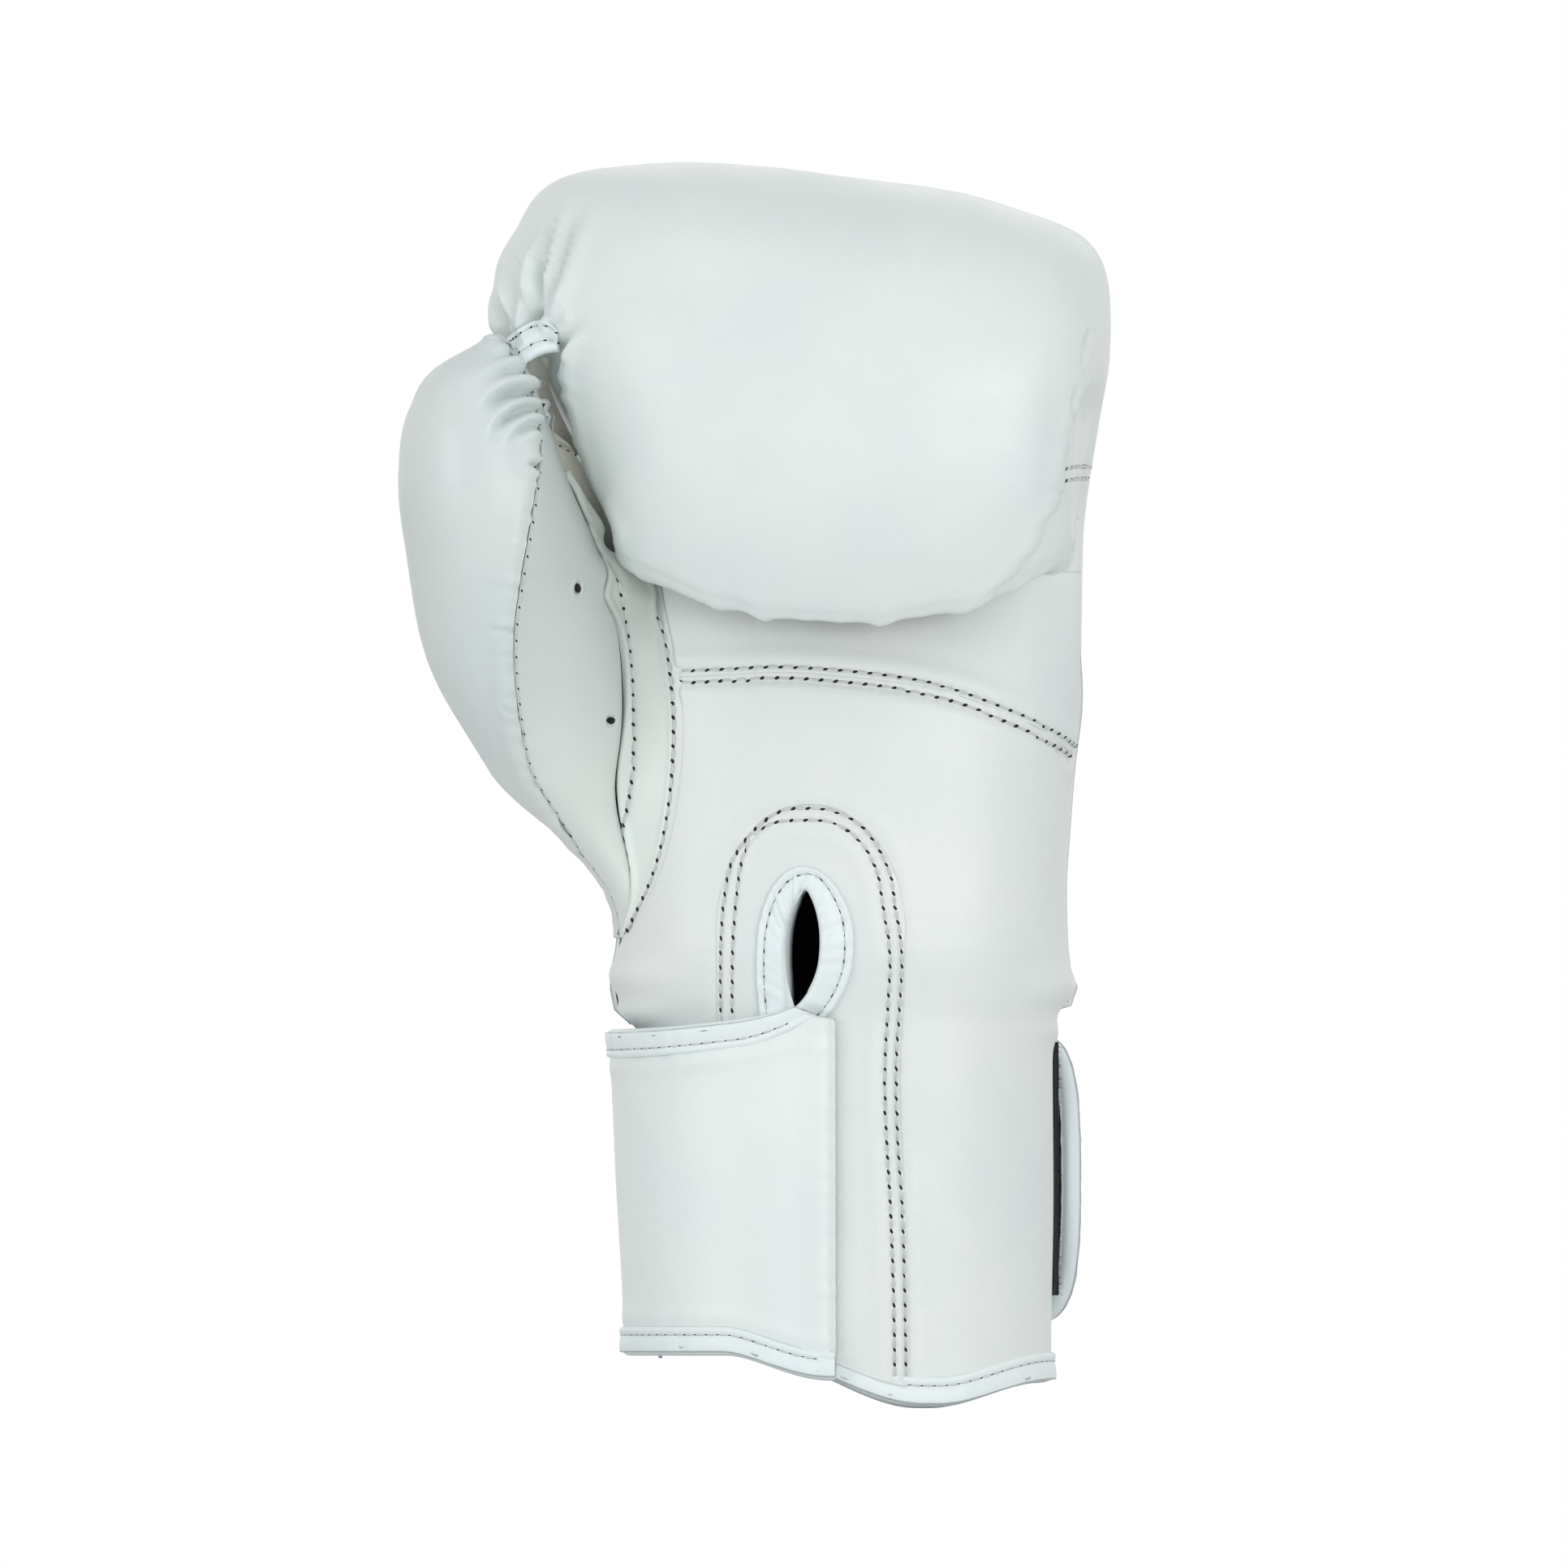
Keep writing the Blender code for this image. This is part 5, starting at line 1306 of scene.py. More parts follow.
# Right edge of the gusset and its tongue, as (z, x) and (z, y).
TONGUE_X = [(THUMB_FOOT, -45.0), (189, -42.4), (195.6, -44.6), (200.5, -46.8), (203.5, -50.0), (206.0, -56.0)]
TONGUE_X += [(212.0, -57.4), (218.6, -62.0), (226, -68.6)]
TONGUE_Y = [(THUMB_FOOT, -30.3), (189, -30.6), (201, -30.4), (206, -32.2), (212, -33.2), (226, -35.6)]
GUSSET_FOLDS = [
    (0.9, 0.7, [(-63.0, 214.5), (-61.0, 212.2), (-58.8, 210.4)]),
    (0.5, 0.7, [(-59.5, 206.0), (-56.0, 202.5), (-52.5, 198.0)]),
]
GUSSET_LEFT_ROW = [(-54.0, 199.0), (-53.2, 194.5), (-52.0, 187.6), (-50.9, 177.0), (-50.5, 166.0)]
GUSSET_LEFT_ROW += [(-51.0, 152.0), (-52.7, 140.8), (-54.4, 129.0)]
GUSSET_RIGHT_ROW = [(-43.9, 190.0), (-43.0, 186.0), (-41.9, 177.0), (-41.0, 166.0), (-41.4, 152.0)]
GUSSET_RIGHT_ROW += [(-42.9, 139.6), (-46.0, 128.0), (-52.0, 115.0)]
# The lock tab's edges in front view, and its section: share of the way down, height over what it lies on.
LOCK_UPPER = [(-81.1, 257.2), (-78.0, 259.6), (-74.4, 261.3), (-71.6, 261.2), (-68.8, 259.0)]
LOCK_LOWER = [(-76.6, 250.9), (-75.2, 251.6), (-73.2, 252.7), (-71.4, 253.3), (-68.2, 253.6)]
LOCK_SECTION = [(0.0, 0.5), (0.02, 0.95), (0.07, 1.15), (0.13, 0.85), (0.155, 0.78), (0.18, 0.85)]
LOCK_SECTION += [(0.28, 1.3), (0.4, 1.4), (0.5, 1.15), (0.545, 0.85), (0.575, 0.8), (0.61, 1.0)]
LOCK_SECTION += [(0.67, 1.7), (0.75, 2.35), (0.84, 2.5), (0.92, 2.1), (0.975, 1.3), (1.0, 0.2)]
LOCK_SECTION += [(0.97, -0.6), (0.85, -0.7), (0.6, -0.4), (0.3, -0.2), (0.02, 0.0)]
LOCK_COLUMNS = 60
TAB_LEVEL = -44.0
LOCK_SEATS = ((0.0, 0.0), (0.5, -39.5), (1.0, -40.5))


def thumb_grid(around, heights):
    """Points and outward normals of the thumb's surface."""
    around, heights = np.broadcast_arrays(around, heights)
    point = thumb_surface(around, heights)
    beside = thumb_surface(around + 0.001, heights) - thumb_surface(around - 0.001, heights)
    above = thumb_surface(around, heights + 0.3) - thumb_surface(around, heights - 0.3)
    return point, unit(np.cross(beside, above))


def tip_rows(rim):
    """Rows that draw the thumb's last ring together over its tip."""
    middle = thumb_surface(np.linspace(0.0, 1.0, 60), THUMB_TOP).mean(axis=0)
    rows = []
    for turn in np.linspace(0.0, np.pi / 2, TIP_ROWS + 1)[1:]:
        row = middle + (rim - middle) * max(np.cos(turn), 0.02)
        row[:, 2] = rim[:, 2] + 1.3 * np.sin(turn)
        rows.append(row)
    return np.array(rows)


def thumb_sheet(name, points, normal, height, *look, fill):
    """A finished half of the thumb, closed over its tip; gives its outer points back."""
    outside = points + normal * height[..., None]
    outside = np.concatenate([outside, tip_rows(outside[-1])])
    up = np.broadcast_to((0.0, 0.0, 1.0), (TIP_ROWS, normal.shape[1], 3))
    inside = outside - grid_normals(outside, np.concatenate([normal, up])) * SKIN
    sheet(name, outside, inside, *look, fill=fill)
    return outside


def make_thumb_leather():
    rows = 190
    level = THUMB_FOOT + (THUMB_TOP - THUMB_FOOT) * (1.0 - (1.0 - np.linspace(0.0, 1.0, rows)) ** 1.3)
    heights = level[:, None]
    seam = seam_share(heights)
    seam_line = thumb_surface(seam[:, 0], level)
    back_line = thumb_surface(0.004, level)
    stitch_line = evenly(thumb_surface(seam[:, 0] + 0.0045, level)[6 : rows - 14], 0.8)

    points, normal = thumb_grid(0.003 + (seam - 0.0035) * sideways(0.0, 1.0, 130), heights)
    tree = tree_of(points)
    height = undulating(points, 0.2, 40.0, 51)
    height += 1.3 * bell(points[..., 2], 146.0, 24.0) * np.clip(-normal[..., 0], 0.0, 1.0) ** 2
    for depth, width, fold in THUMB_FOLDS:
        gap, along = distance_to(points, drawn(tree, fold))
        height += FOLD_DEPTH * depth * (1.0 - smooth(along, 0.25, 1.0)) * fold_shape(gap, width)
    # Fine creases that run out from the seam lower down.
    height += puckered(points, seam_line[:130:2], 0.34, 3.6, 52, 4.0, 10.0)
    height += puckered(points, back_line[::2], 0.35, 4.0, 53, 4.0, 11.0)
    height += ridges(points, seam_line[::2], (0.7, 3.4, 2.4), (-0.5, 0.0, 0.9))
    height += ridges(points, back_line[::2], (-0.8, 0.0, 1.2))
    look = SHADED_THUMB_LEATHER, "white_leather", "thumb_cover"
    cover = thumb_sheet("thumb_leather", points, normal, height, *look, fill=0.8)

    reach = FOLD_SHARE + (1.0 - FOLD_SHARE) * smooth(heights, GUSSET_TOP - 2.0, GUSSET_TOP + 14.0) - 0.003
    points, normal = thumb_grid(seam + 0.0005 + (reach - seam - 0.0005) * sideways(0.0, 1.0, 80), heights)
    height = undulating(points, 0.25, 30.0, 54) + ridges(points, seam_line[::2], (-0.3, 0.0, 0.9))
    height += puckered(points, stitch_line, 0.10, 2.5, 55)
    for x, z, wide, tall in VENTS:
        hole = np.hypot((points[..., 0] - x) / wide, (points[..., 2] - z) / tall)
        height += 0.18 * bell(hole, 1.5, 0.4) - 2.2 * (1.0 - smooth(hole, 0.7, 1.05))
    look = GREY_LEATHER, "grey_leather", "thumb_inner_panel"
    inner = thumb_sheet("thumb_inner_leather", points, normal, height, *look, fill=0.5)
    tree = tree_of(inner[:-TIP_ROWS])
    sew_on(tree, "glove", stitch_line, pitch=4.2, thread=0.20, hole=0.8)
    # Partly painted shade: a black bead fills each vent, for the black lining behind it and the shadow in the
    # hole.
    for x, z, wide, tall in VENTS:
        at, up = cast(tree, [(x, z)])
        ahead = VENT_SLANT - (VENT_SLANT * up).sum() * up
        stamp("glove_holes", BEAD_SHAPE, at, ahead, up, (VENT_FILL * tall, VENT_FILL * wide, VENT_DEPTH))
    make_gusset(level, reach[:, 0])
    return tree_of(cover)


def make_gusset(level, reach):
    """The strip that runs up between the thumb and the palm and ends in a tongue beside the fist."""
    strip = down(THUMB_FOOT + 1.5, 225.0, 190)
    z = strip[:, 0]
    share = sideways(0.0, 1.0, 44)
    low = thumb_grid(FOLD_SHARE + 0.003 + (0.994 - FOLD_SHARE) * share, np.minimum(strip, THUMB_TOP))[0]
    left = thumb_surface(np.interp(z, level, reach), z) + np.array([-0.2, 0.9, 0.0])
    right = xyz(through(z, TONGUE_X), through(z, TONGUE_Y), z)
    right[:, 0] = np.maximum(right[:, 0], left[:, 0] + 0.4)
    high = left[:, None] + (right - left)[:, None] * share[..., None]
    high[..., 1] -= 0.9 * np.sin(np.pi * share) * smooth(strip, 190.0, 200.0)
    blend = smooth(strip, 186.0, 197.0)[..., None]
    points = low * (1 - blend) + high * blend
    normal = grid_normals(points, np.array([0.0, -1.0, 0.0]))
    tree = tree_of(points)
    height = undulating(points, 0.15, 25.0, 56)
    paths = [drawn(tree, line) for line in (GUSSET_LEFT_ROW, GUSSET_RIGHT_ROW)]
    for path in paths:
        height += stitched(points, path, depth=0.25)
    for depth, width, line in GUSSET_FOLDS:
        height += crease(points, drawn(tree, line), depth, width)
    height += ridges(points, points[::2, 0], (0.9, 1.2, 1.1), (-0.5, 0.0, 0.5))
    height += ridges(points, points[::2, -1], (0.5, 1.0, 0.9), (-0.3, 0.0, 0.4))
    outside = points + normal * height[..., None]
    look = GUSSET_LEATHER, "white_leather", "thumb_gusset"
    sheet("thumb_gusset_leather", outside, outside - normal * SKIN, *look)
    for path in paths:
        sew_on(tree_of(outside), "glove", path)


def flank_x(y, z):
    """Where the fist's thumb-side flank lies across, at each given y and z."""
    outer = pad_surfaces(-sideways(0.72, PAD_EDGE, 80), down(BACK_SHARE, 1.0, 240))[0].reshape(-1, 3)
    off = (outer[None, :, 1] - y[:, None]) ** 2 + (outer[None, :, 2] - z[:, None]) ** 2
    return outer[np.argmin(off, axis=1), 0]


def make_webs():
    """Two lapped pieces of leather that close the gap between the thumb and the fist."""
    share = sideways(0.0, 1.0, 30)
    for name, foot, top, back, around in WEBS:
        z = np.linspace(foot, top, WEB_ROWS)
        start = thumb_surface(around, z)
        y = start[:, 1]
        end = flank_x(y - 0.7, z) + 2.6
        x = (start[:, 0] + 0.35)[:, None] * (1 - share) + (end - 0.5)[:, None] * share
        lean = (z - foot)[:, None] / (top - foot)
        sag = -WEB_SAG * share * lean if name == "lower" else 0.0
        points = xyz(x, y[:, None] + back + 0.8 * np.sin(np.pi * share), z[:, None] + sag)
        height = undulating(points, 0.2, 14.0, 57)
        if name == "lower":
            height += bells(lean, (0.5, 0.955, 0.02), (-0.25, WEB_ROW_AT, 0.015))
        else:
            seam = np.array(WEB_SEAM)
            height += ridges(xyz(x, 0.0, z[:, None]), xyz(seam[:, 0], 0.0, seam[:, 1]), (0.5, 0.0, 0.6))
        outside = points - np.array([0.0, 1.0, 0.0]) * height[..., None]
        look = SHADED_WEB_LEATHER, "white_leather", "thumb_web"
        sheet(f"thumb_web_{name}", outside, outside + np.array([0.0, 1.0, 0.0]), *look)
        if name == "lower":
            row = outside[int(WEB_ROW_AT * WEB_ROWS)]
            sew_on(tree_of(outside), "glove", row, pitch=2.6, hole=0.8, thread=0.2)


def make_thumb_insides():
    heights = down(THUMB_FOAM_FOOT, THUMB_FOAM_TOP, 50)
    padded = sideways(0.1, THUMB_PAD_SHARE - 0.03, 40)
    points, normal = thumb_grid(padded, heights)
    near = points - normal * THUMB_FOAM_AT
    far = points - normal * (THUMB_FOAM_AT + np.maximum(foam_thickness(padded)[..., None] - 1.2, 0.5))
    sheet("thumb_foam_pad", near, far, FOAM, "foam", "thumb_foam", fill=1.0)
    lined = sideways(0.1, FOLD_SHARE - 0.03, 50)
    points, normal = thumb_grid(lined, heights)
    foam = foam_thickness(lined)
    under = (LEATHER + SEAT + (foam + SEAT) * (foam > 0))[..., None] + 1.3
    near, far = points - normal * under, points - normal * (under + LINING * 0.8)
    sheet("thumb_lining_cloth", near, far, LINING_CLOTH, "lining", "thumb_lining")


def front_depth(trees, line):
    """How far forward the nearest of these surfaces stands at each (x, z) point of a line."""
    depth = []
    for x, z in line:
        hits = [tree.ray_cast(Vector((x, IN_FRONT, z)), AHEAD)[0] for tree in trees]
        depth.append(min([hit[1] for hit in hits if hit is not None], default=TAB_LEVEL))
    return np.array(depth)


def make_thumb_lock_tab(thumb_tree, fist_tree):
    """The short sewn tab between the thumb's tip and the fist, with a rolled lower lip."""
    upper = evenly_counted(curve(LOCK_UPPER, 0.2), LOCK_COLUMNS)
    lower = evenly_counted(curve(LOCK_LOWER, 0.2), LOCK_COLUMNS)
    places, seats = zip(*LOCK_SEATS)
    base = []
    for place, seat in LOCK_SEATS:
        line = upper * (1 - place) + lower * place
        base.append(np.minimum(front_depth((thumb_tree, fist_tree), line), seat))
    base = np.array(base)
    for _ in range(40):
        base[:, 1:-1] = np.minimum(base[:, 1:-1], 0.5 * (base[:, :-2] + base[:, 2:]))
    share = np.linspace(0.0, 1.0, LOCK_COLUMNS)
    rings = []
    for place, rise in LOCK_SECTION:
        line = upper * (1 - place) + lower * place
        y = np.array([np.interp(place, places, column) for column in base.T])
        ends = 1.0 - 0.75 * bell(share, 0.0, 0.04) - 0.75 * bell(share, 1.0, 0.04)
        wave = 1.0 + 0.10 * np.sin(9.0 * share + 5.0 * place)
        rings.append(xyz(line[:, 0], y - 0.35 - rise * ends * wave, line[:, 1]))
    rings = np.stack(rings, axis=1)
    made = swept("thumb_lock_tab", rings, BINDING_LEATHER)
    finish_piece(made, "glove", "white_leather", "thumb_lock")
    for at in (4, 11):
        row = evenly(rings[2:-2, at], 0.6)
        sew("glove", row, np.broadcast_to((0.0, -1.0, 0.15), row.shape), pitch=3.2, hole=1.0, thread=0.24)


# --- entry slit

# The slit's left and right edge, as (z, x).
LENS_LEFT = [(SLIT_FOOT, -12.0), (104, -13.6), (111.3, -14.0), (118, -13.0), (SLIT_TOP, -9.5)]
LENS_RIGHT = [(SLIT_FOOT, -11.1), (103, -7.6), (112.5, -5.7), (119, -6.6), (SLIT_TOP, -9.1)]
# The facing's right edge, as (z, x); its left edge is upright.
FACING_EAST = [(4.0, 15.7), (31.0, 15.2), (48.0, 14.6), (68.0, 13.5), (83.0, 13.3), (98.0, 14.1)]
FACING_EAST += [(110.0, 14.4), (146.0, 14.4)]
FACING_WEST = -30.3
FACING_TOP = 145.0
FACING_ARCH = 30.0
FACING_ROW_GAP = 2.75
FACING_FLAT = 0.95
# The slit's binding: its edges in front view, and its section as the share of the way out and the
# height over the facing, first over the top and then back underneath.
RING_OUTER = [(-19.6, 86.0), (-19.5, 92.0), (-20.4, 102.0), (-20.5, 109.0), (-19.6, 117.5), (-16.6, 125.4)]
RING_OUTER += [(-13.2, 129.2), (-9.6, 130.3), (-5.2, 128.8), (-1.0, 124.0), (1.6, 118.0), (2.3, 111.5)]
RING_OUTER += [(1.7, 105.0), (-0.4, 99.4), (-4.2, 93.8), (-7.4, 90.9)]
RING_INNER = [(-14.0, 86.0), (-13.4, 92.0), (-13.8, 102.0), (-14.1, 109.0), (-13.3, 116.5), (-11.5, 121.5)]
RING_INNER += [(-9.9, 124.2), (-9.2, 124.5), (-8.5, 124.0), (-7.3, 121.4), (-6.1, 117.0), (-5.7, 111.5)]
RING_INNER += [(-6.5, 105.0), (-8.3, 100.4), (-11.0, 96.9), (-13.6, 95.1)]
RING_OVER = [(-0.02, -7.0), (-0.03, -3.0), (-0.02, -0.6), (0.02, 0.5), (0.09, 1.05), (0.2, 1.3), (0.34, 1.32)]
RING_OVER += [(0.5, 1.2), (0.62, 1.0), (0.70, 0.72), (0.735, 0.62), (0.77, 0.70), (0.84, 1.0), (0.90, 1.22)]
RING_OVER += [(0.95, 1.2), (0.985, 0.9), (1.0, 0.35), (0.995, 0.05)]
RING_UNDER = [(0.9, 0.0), (0.5, 0.0), (0.12, 0.0), (0.08, -1.0), (0.07, -3.0), (0.06, -7.0)]
RING_STITCH_AT, RING_STITCH_RISE = RING_OVER[10]
RING_COUNT = 240
RING_LENGTH = 110


def slit_cutter():
    """The slit and, below it, the channel down to the cuff's edge, which the strap covers."""
    z = np.concatenate([[-12.0, SLIT_FOOT - 3.0], np.linspace(SLIT_FOOT, SLIT_TOP, 30)])
    channel = 1.0 - smooth(z, SLIT_FOOT - 2.0, SLIT_FOOT + 4.0)
    left = through(z, LENS_LEFT) - 0.2 + 0.4 * channel
    right = through(z, LENS_RIGHT) + 0.2 + 3.6 * channel
    corners_of = [(left, -85.0), (right, -85.0), (right, -15.0), (left, -15.0)]
    return swept("slit_cutter", np.stack([xyz(x, y, z) for x, y in corners_of], axis=1), FOAM)


def cut(target, cutter):
    """Takes the cutter's volume out of a piece, for good."""
    tool = target.modifiers.new("cut", "BOOLEAN")
    tool.operation = "DIFFERENCE"
    tool.solver = "EXACT"
    tool.object = cutter
    graph = bpy.context.evaluated_depsgraph_get()
    mesh = bpy.data.meshes.new_from_object(target.evaluated_get(graph))
    target.modifiers.clear()
    mesh.shade_smooth()
    target.data = mesh


def make_facing(palm_tree):
    """The patch round the slit, not finished yet."""
    side = np.sin(sideways(-1.0, 1.0, 150) * np.pi / 2 * 0.96) / np.sin(np.pi / 2 * 0.96)
    top_z = FACING_TOP - FACING_ARCH * (1.0 - np.sqrt(np.clip(1.0 - side**2, 0.0, 1.0)))
    foot_z = cuff_edge(palm_angle(-7.3 + 23.0 * side, 8.0)) + CUFF_BINDING_WIDTH * 0.6
    z = foot_z + (top_z - foot_z) * down(0.0, 1.0, 190)
    # The two long edges follow the outer row of stitches, 0.8 mm outside it.
    east = through(z, FACING_EAST)
    angle = palm_angle((FACING_WEST + east) / 2 + (east - FACING_WEST) / 2 * side, z)
    points = tube(angle, z)
    rows = [drawn_beside(palm_tree, U_ROW, distance) for distance in (0.0, FACING_ROW_GAP)]
    # Distance to the outline, which the foot isn't part of.
    outline = np.concatenate([points[::4, 0], points[-1, ::3], points[::-4, -1]])
    gap, _ = distance_to(points, outline)
    lift = 0.08 + 0.85 * smooth(gap, 0.0, 2.4)
    height = palm_relief(points, palm_tree) * (1 - smooth(gap, 0.0, 3.0)) + lift
    for row in rows:
        height += stitched(points, row, depth=0.3)
    height += ridges(points, rows[1], (0.3, 3.4, 1.8))
    height += ridges(points, drawn_beside(palm_tree, U_ROW, 1.4), (0.16, 0.0, 0.55))
    height = np.maximum(height, 0.10)
    outside, inside = tube(angle, z, -height), tube(angle, z, -np.maximum(height - 0.9, 0.02))
    made = layer("slit_facing_leather", outside, inside, PALM_LEATHER)
    for row in rows:
        sew_on(tree_of(outside), "glove", row[12:])
    return made


def make_slit_ring():
    """The binding round the slit: a folded strip with a rolled rim, sewn near its outer edge."""
    outer = evenly_counted(curve(RING_OUTER, 0.3), RING_COUNT)
    inner = evenly_counted(curve(RING_INNER, 0.3), RING_COUNT)
    share = np.linspace(0.0, 1.0, RING_COUNT)
    wobble = 0.10 * ripple(share * RING_LENGTH, 61, 4.0, 12.0)
    # Small gathers where the strip turns tightly at the top of the slit.
    gathers = 0.42 * ripple(share * RING_LENGTH, 62, 1.6, 3.4, 4) * bell(share, 0.47, 0.085)

    def place(across, level):
        x, z = (inner + (outer - inner) * across).T
        return palm_point(x, z, level)

    rows = []
    for across, rise in RING_OVER:
        level = FACING_FLAT + rise * (1.0 - 0.4 * smooth(share, 0.955, 1.0))
        if rise > 0.3:
            level = level + wobble + gathers * (1.0 - 0.6 * across)
        rows.append(place(across, level))
    rows += [place(across, FACING_FLAT + rise) for across, rise in RING_UNDER]
    made = swept("slit_ring", np.stack(rows, axis=1), BINDING_LEATHER)
    finish_piece(made, "glove", "binding", "slit_binding")
    line = place(RING_STITCH_AT, FACING_FLAT + RING_STITCH_RISE)
    normal = place(RING_STITCH_AT, 5.0) - line
    sew("glove", line[16:-2], normal[16:-2], pitch=3.0, hole=1.5, thread=0.22, slant=4.0, slim=0.11)


# --- bindings

# Section of a folded binding, as (distance from the edge as a share of its width, height over the
# sheet it covers); the same shape goes down both faces of the sheet.
BAND_FACE = [(1.0, 0.02), (0.975, 0.45), (0.92, 0.78), (0.84, 0.85), (0.77, 0.66), (0.715, 0.50)]
BAND_FACE += [(0.66, 0.62), (0.58, 0.80), (0.45, 0.92), (0.32, 0.98), (0.2, 0.98), (0.12, 0.90)]
BAND_STITCH_AT, BAND_STITCH_RISE = BAND_FACE[5]
BAND_STITCHES = {"pitch": 3.1, "hole": 1.3, "thread": 0.24, "slant": 4.0, "slim": 0.11}


def band(name, edge, inward, normal, width, above, below, seed):
    """A binding folded over the edge of a sheet, and the line of its stitches."""
    width, above, below = (np.broadcast_to(v, len(edge)) for v in (width, above, below))
    swell = 1.0 + 0.10 * ripple(run_of(edge), seed, 5.0, 16.0)
    rows = [(share * width, above + rise * swell) for share, rise in BAND_FACE]
    half = (above + below) / 2 + 0.9
    for turn in np.linspace(0.0, np.pi, 9):
        out = np.minimum(half, 2.4) * (1.0 - np.sin(turn)) * 0.9
        rows.append((out, (above - below) / 2 + half * np.cos(turn)))
    rows += [(share * width, -below - rise * swell) for share, rise in BAND_FACE[::-1]]
    rows += [(share * width, -below + 0.06) for share in (0.96, 0.35)]
    rows += [(share * width, above - 0.06) for share in (0.35, 0.96)]
    rings = np.stack([edge + inward * u[:, None] + normal * w[:, None] for u, w in rows], axis=1)
    line = edge + inward * (BAND_STITCH_AT * width)[:, None] + normal * (above + BAND_STITCH_RISE)[:, None]
    return swept(name, rings, BINDING_LEATHER), line


# --- cuff

CUFF_ROW_DROP = 4.5
CUFF_LEATHER_LIFT = 1.4


def cuff_climb(angle, rows, top):
    """Heights from just over the cuff's edge to the given one."""
    low = cuff_edge(angle) + CUFF_LEATHER_LIFT
    return low + (top - low) * down(0.0, 1.0, rows)


def make_cuff_pieces():
    back = even_angles(SIDE_LIP, 180.0 - SIDE_LIP, 150)[None, :]
    z = cuff_climb(back, 80, CUFF_TOP - 0.4)
    points = tube(back, z)
    height = undulating(points, 0.18, 40.0, 71) + side_roll(points)
    height += puckered(points, points[0, ::2], 0.08, 5.0, 72)
    height += bells(CUFF_TOP - z, (0.5, 3.0, 2.2), (-0.9, 0.0, 1.1))
    height += bells(back, (-0.5, SIDE_LIP, 1.6), (-0.5, 180.0 - SIDE_LIP, 1.6))
    row = tube(even_angles(2.0, 178.0, 300), CUFF_TOP - CUFF_ROW_DROP)
    height += stitched(points, row)
    look = PALM_LEATHER, "white_leather", "cuff_back_panel"
    tube_sheet("cuff_leather_back", back, z, -height, SKIN - height, *look)
    placed, ups = settle(tree_of(tube(back, z, -height)), row)
    inverted = (ups * row * np.array([1.0, 1.0, 0.0])).sum(axis=1, keepdims=True) <= 0
    sew("glove", placed, np.where(inverted, -ups, ups))

    lip = np.degrees(2.0 / CUFF_HALF_WIDTH)
    slit_angle = float(palm_angle(SLIT_X, 0.0))
    ends = slit_angle - 360.0 + lip, slit_angle - lip
    around = even_angles(*ends, 300)
    z = cuff_climb(around, 26, CUFF_TOP)
    foam, lining = LEATHER + SEAT, WALL - LINING + undulating(tube(around, z), 0.12, 20.0, 73)
    tube_sheet("cuff_foam_sheet", around, z, foam, foam + CUFF_FOAM, FOAM, "foam", "cuff_foam", fill=1.0)
    tube_sheet("cuff_lining_sheet", around, z, lining, lining + LINING, LINING_CLOTH, "lining", "cuff_lining")

    around = even_angles(*ends, 560)
    low = cuff_edge(around)
    edge = tube(around, low, WALL / 2)
    inward = unit(tube(around, low + 1.0, WALL / 2) - edge)
    normal = unit(tube(around, low, -1.0) - tube(around, low))
    width = CUFF_BINDING_WIDTH - 0.5
    made, line = band("cuff_edge_binding", edge, inward, normal, width, WALL / 2, WALL / 2, 74)
    finish_piece(made, "glove", "binding", "cuff_binding")
    sew("glove", line[6:-6], normal[6:-6], **BAND_STITCHES)


# --- strap

STRAP_SEAM_ANGLE = float(palm_angle(STRAP_SEAM_X, STRAP_FOOT))
STRAP_ANGLES = np.linspace(0.5, STRAP_SEAM_ANGLE, 1700)
STRAP_RUN = run_of(tube(STRAP_ANGLES, STRAP_FOOT, -STRAP_PANEL_AT))
STRAP_RUN -= np.interp(STRAP_END_ANGLE, STRAP_ANGLES, STRAP_RUN)
STRAP_LENGTH = STRAP_RUN[-1]
# The free end is cut to an oval: its corners are taller than they are long.
STRAP_CORNER_TALL = 31.0
STRAP_INSET = 1.4
STRAP_TURN_UP = 9.6
# Height of the strap's upper edge at each distance from its sewn end.
STRAP_UPPER = [(0.0, 94.9), (4.0, 95.6), (STRAP_TURN_UP, 96.6), (13.0, 95.4), (18.0, 94.2), (27.5, 92.9)]
STRAP_UPPER += [(39.0, 91.8), (54.0, 91.2), (75.0, 91.1), (400.0, 91.1)]


def strap_at(travel):
    """The tube angle at a distance from the strap's free end."""
    return np.interp(travel, STRAP_RUN, STRAP_ANGLES)


def strap_lift(travel):
    """How far off the cuff the strap's leather lies; less where it is sewn on."""
    full = 1.1 * bell(strap_at(travel), 180.0, 26.0)
    return STRAP_PANEL_AT + full - 2.6 * smooth(travel, STRAP_LENGTH - 22.0, STRAP_LENGTH - 2.0)


def strap_rise(travel):
    """Height of the strap's upper edge."""
    return through(STRAP_LENGTH - travel, STRAP_UPPER)


def strap_low(travel):
    """Height of the strap's lower edge."""
    return strap_foot(strap_at(travel))


def strap_point(travel, z, above=0.0):
    return tube(strap_at(travel), z, -(strap_lift(travel) + above))


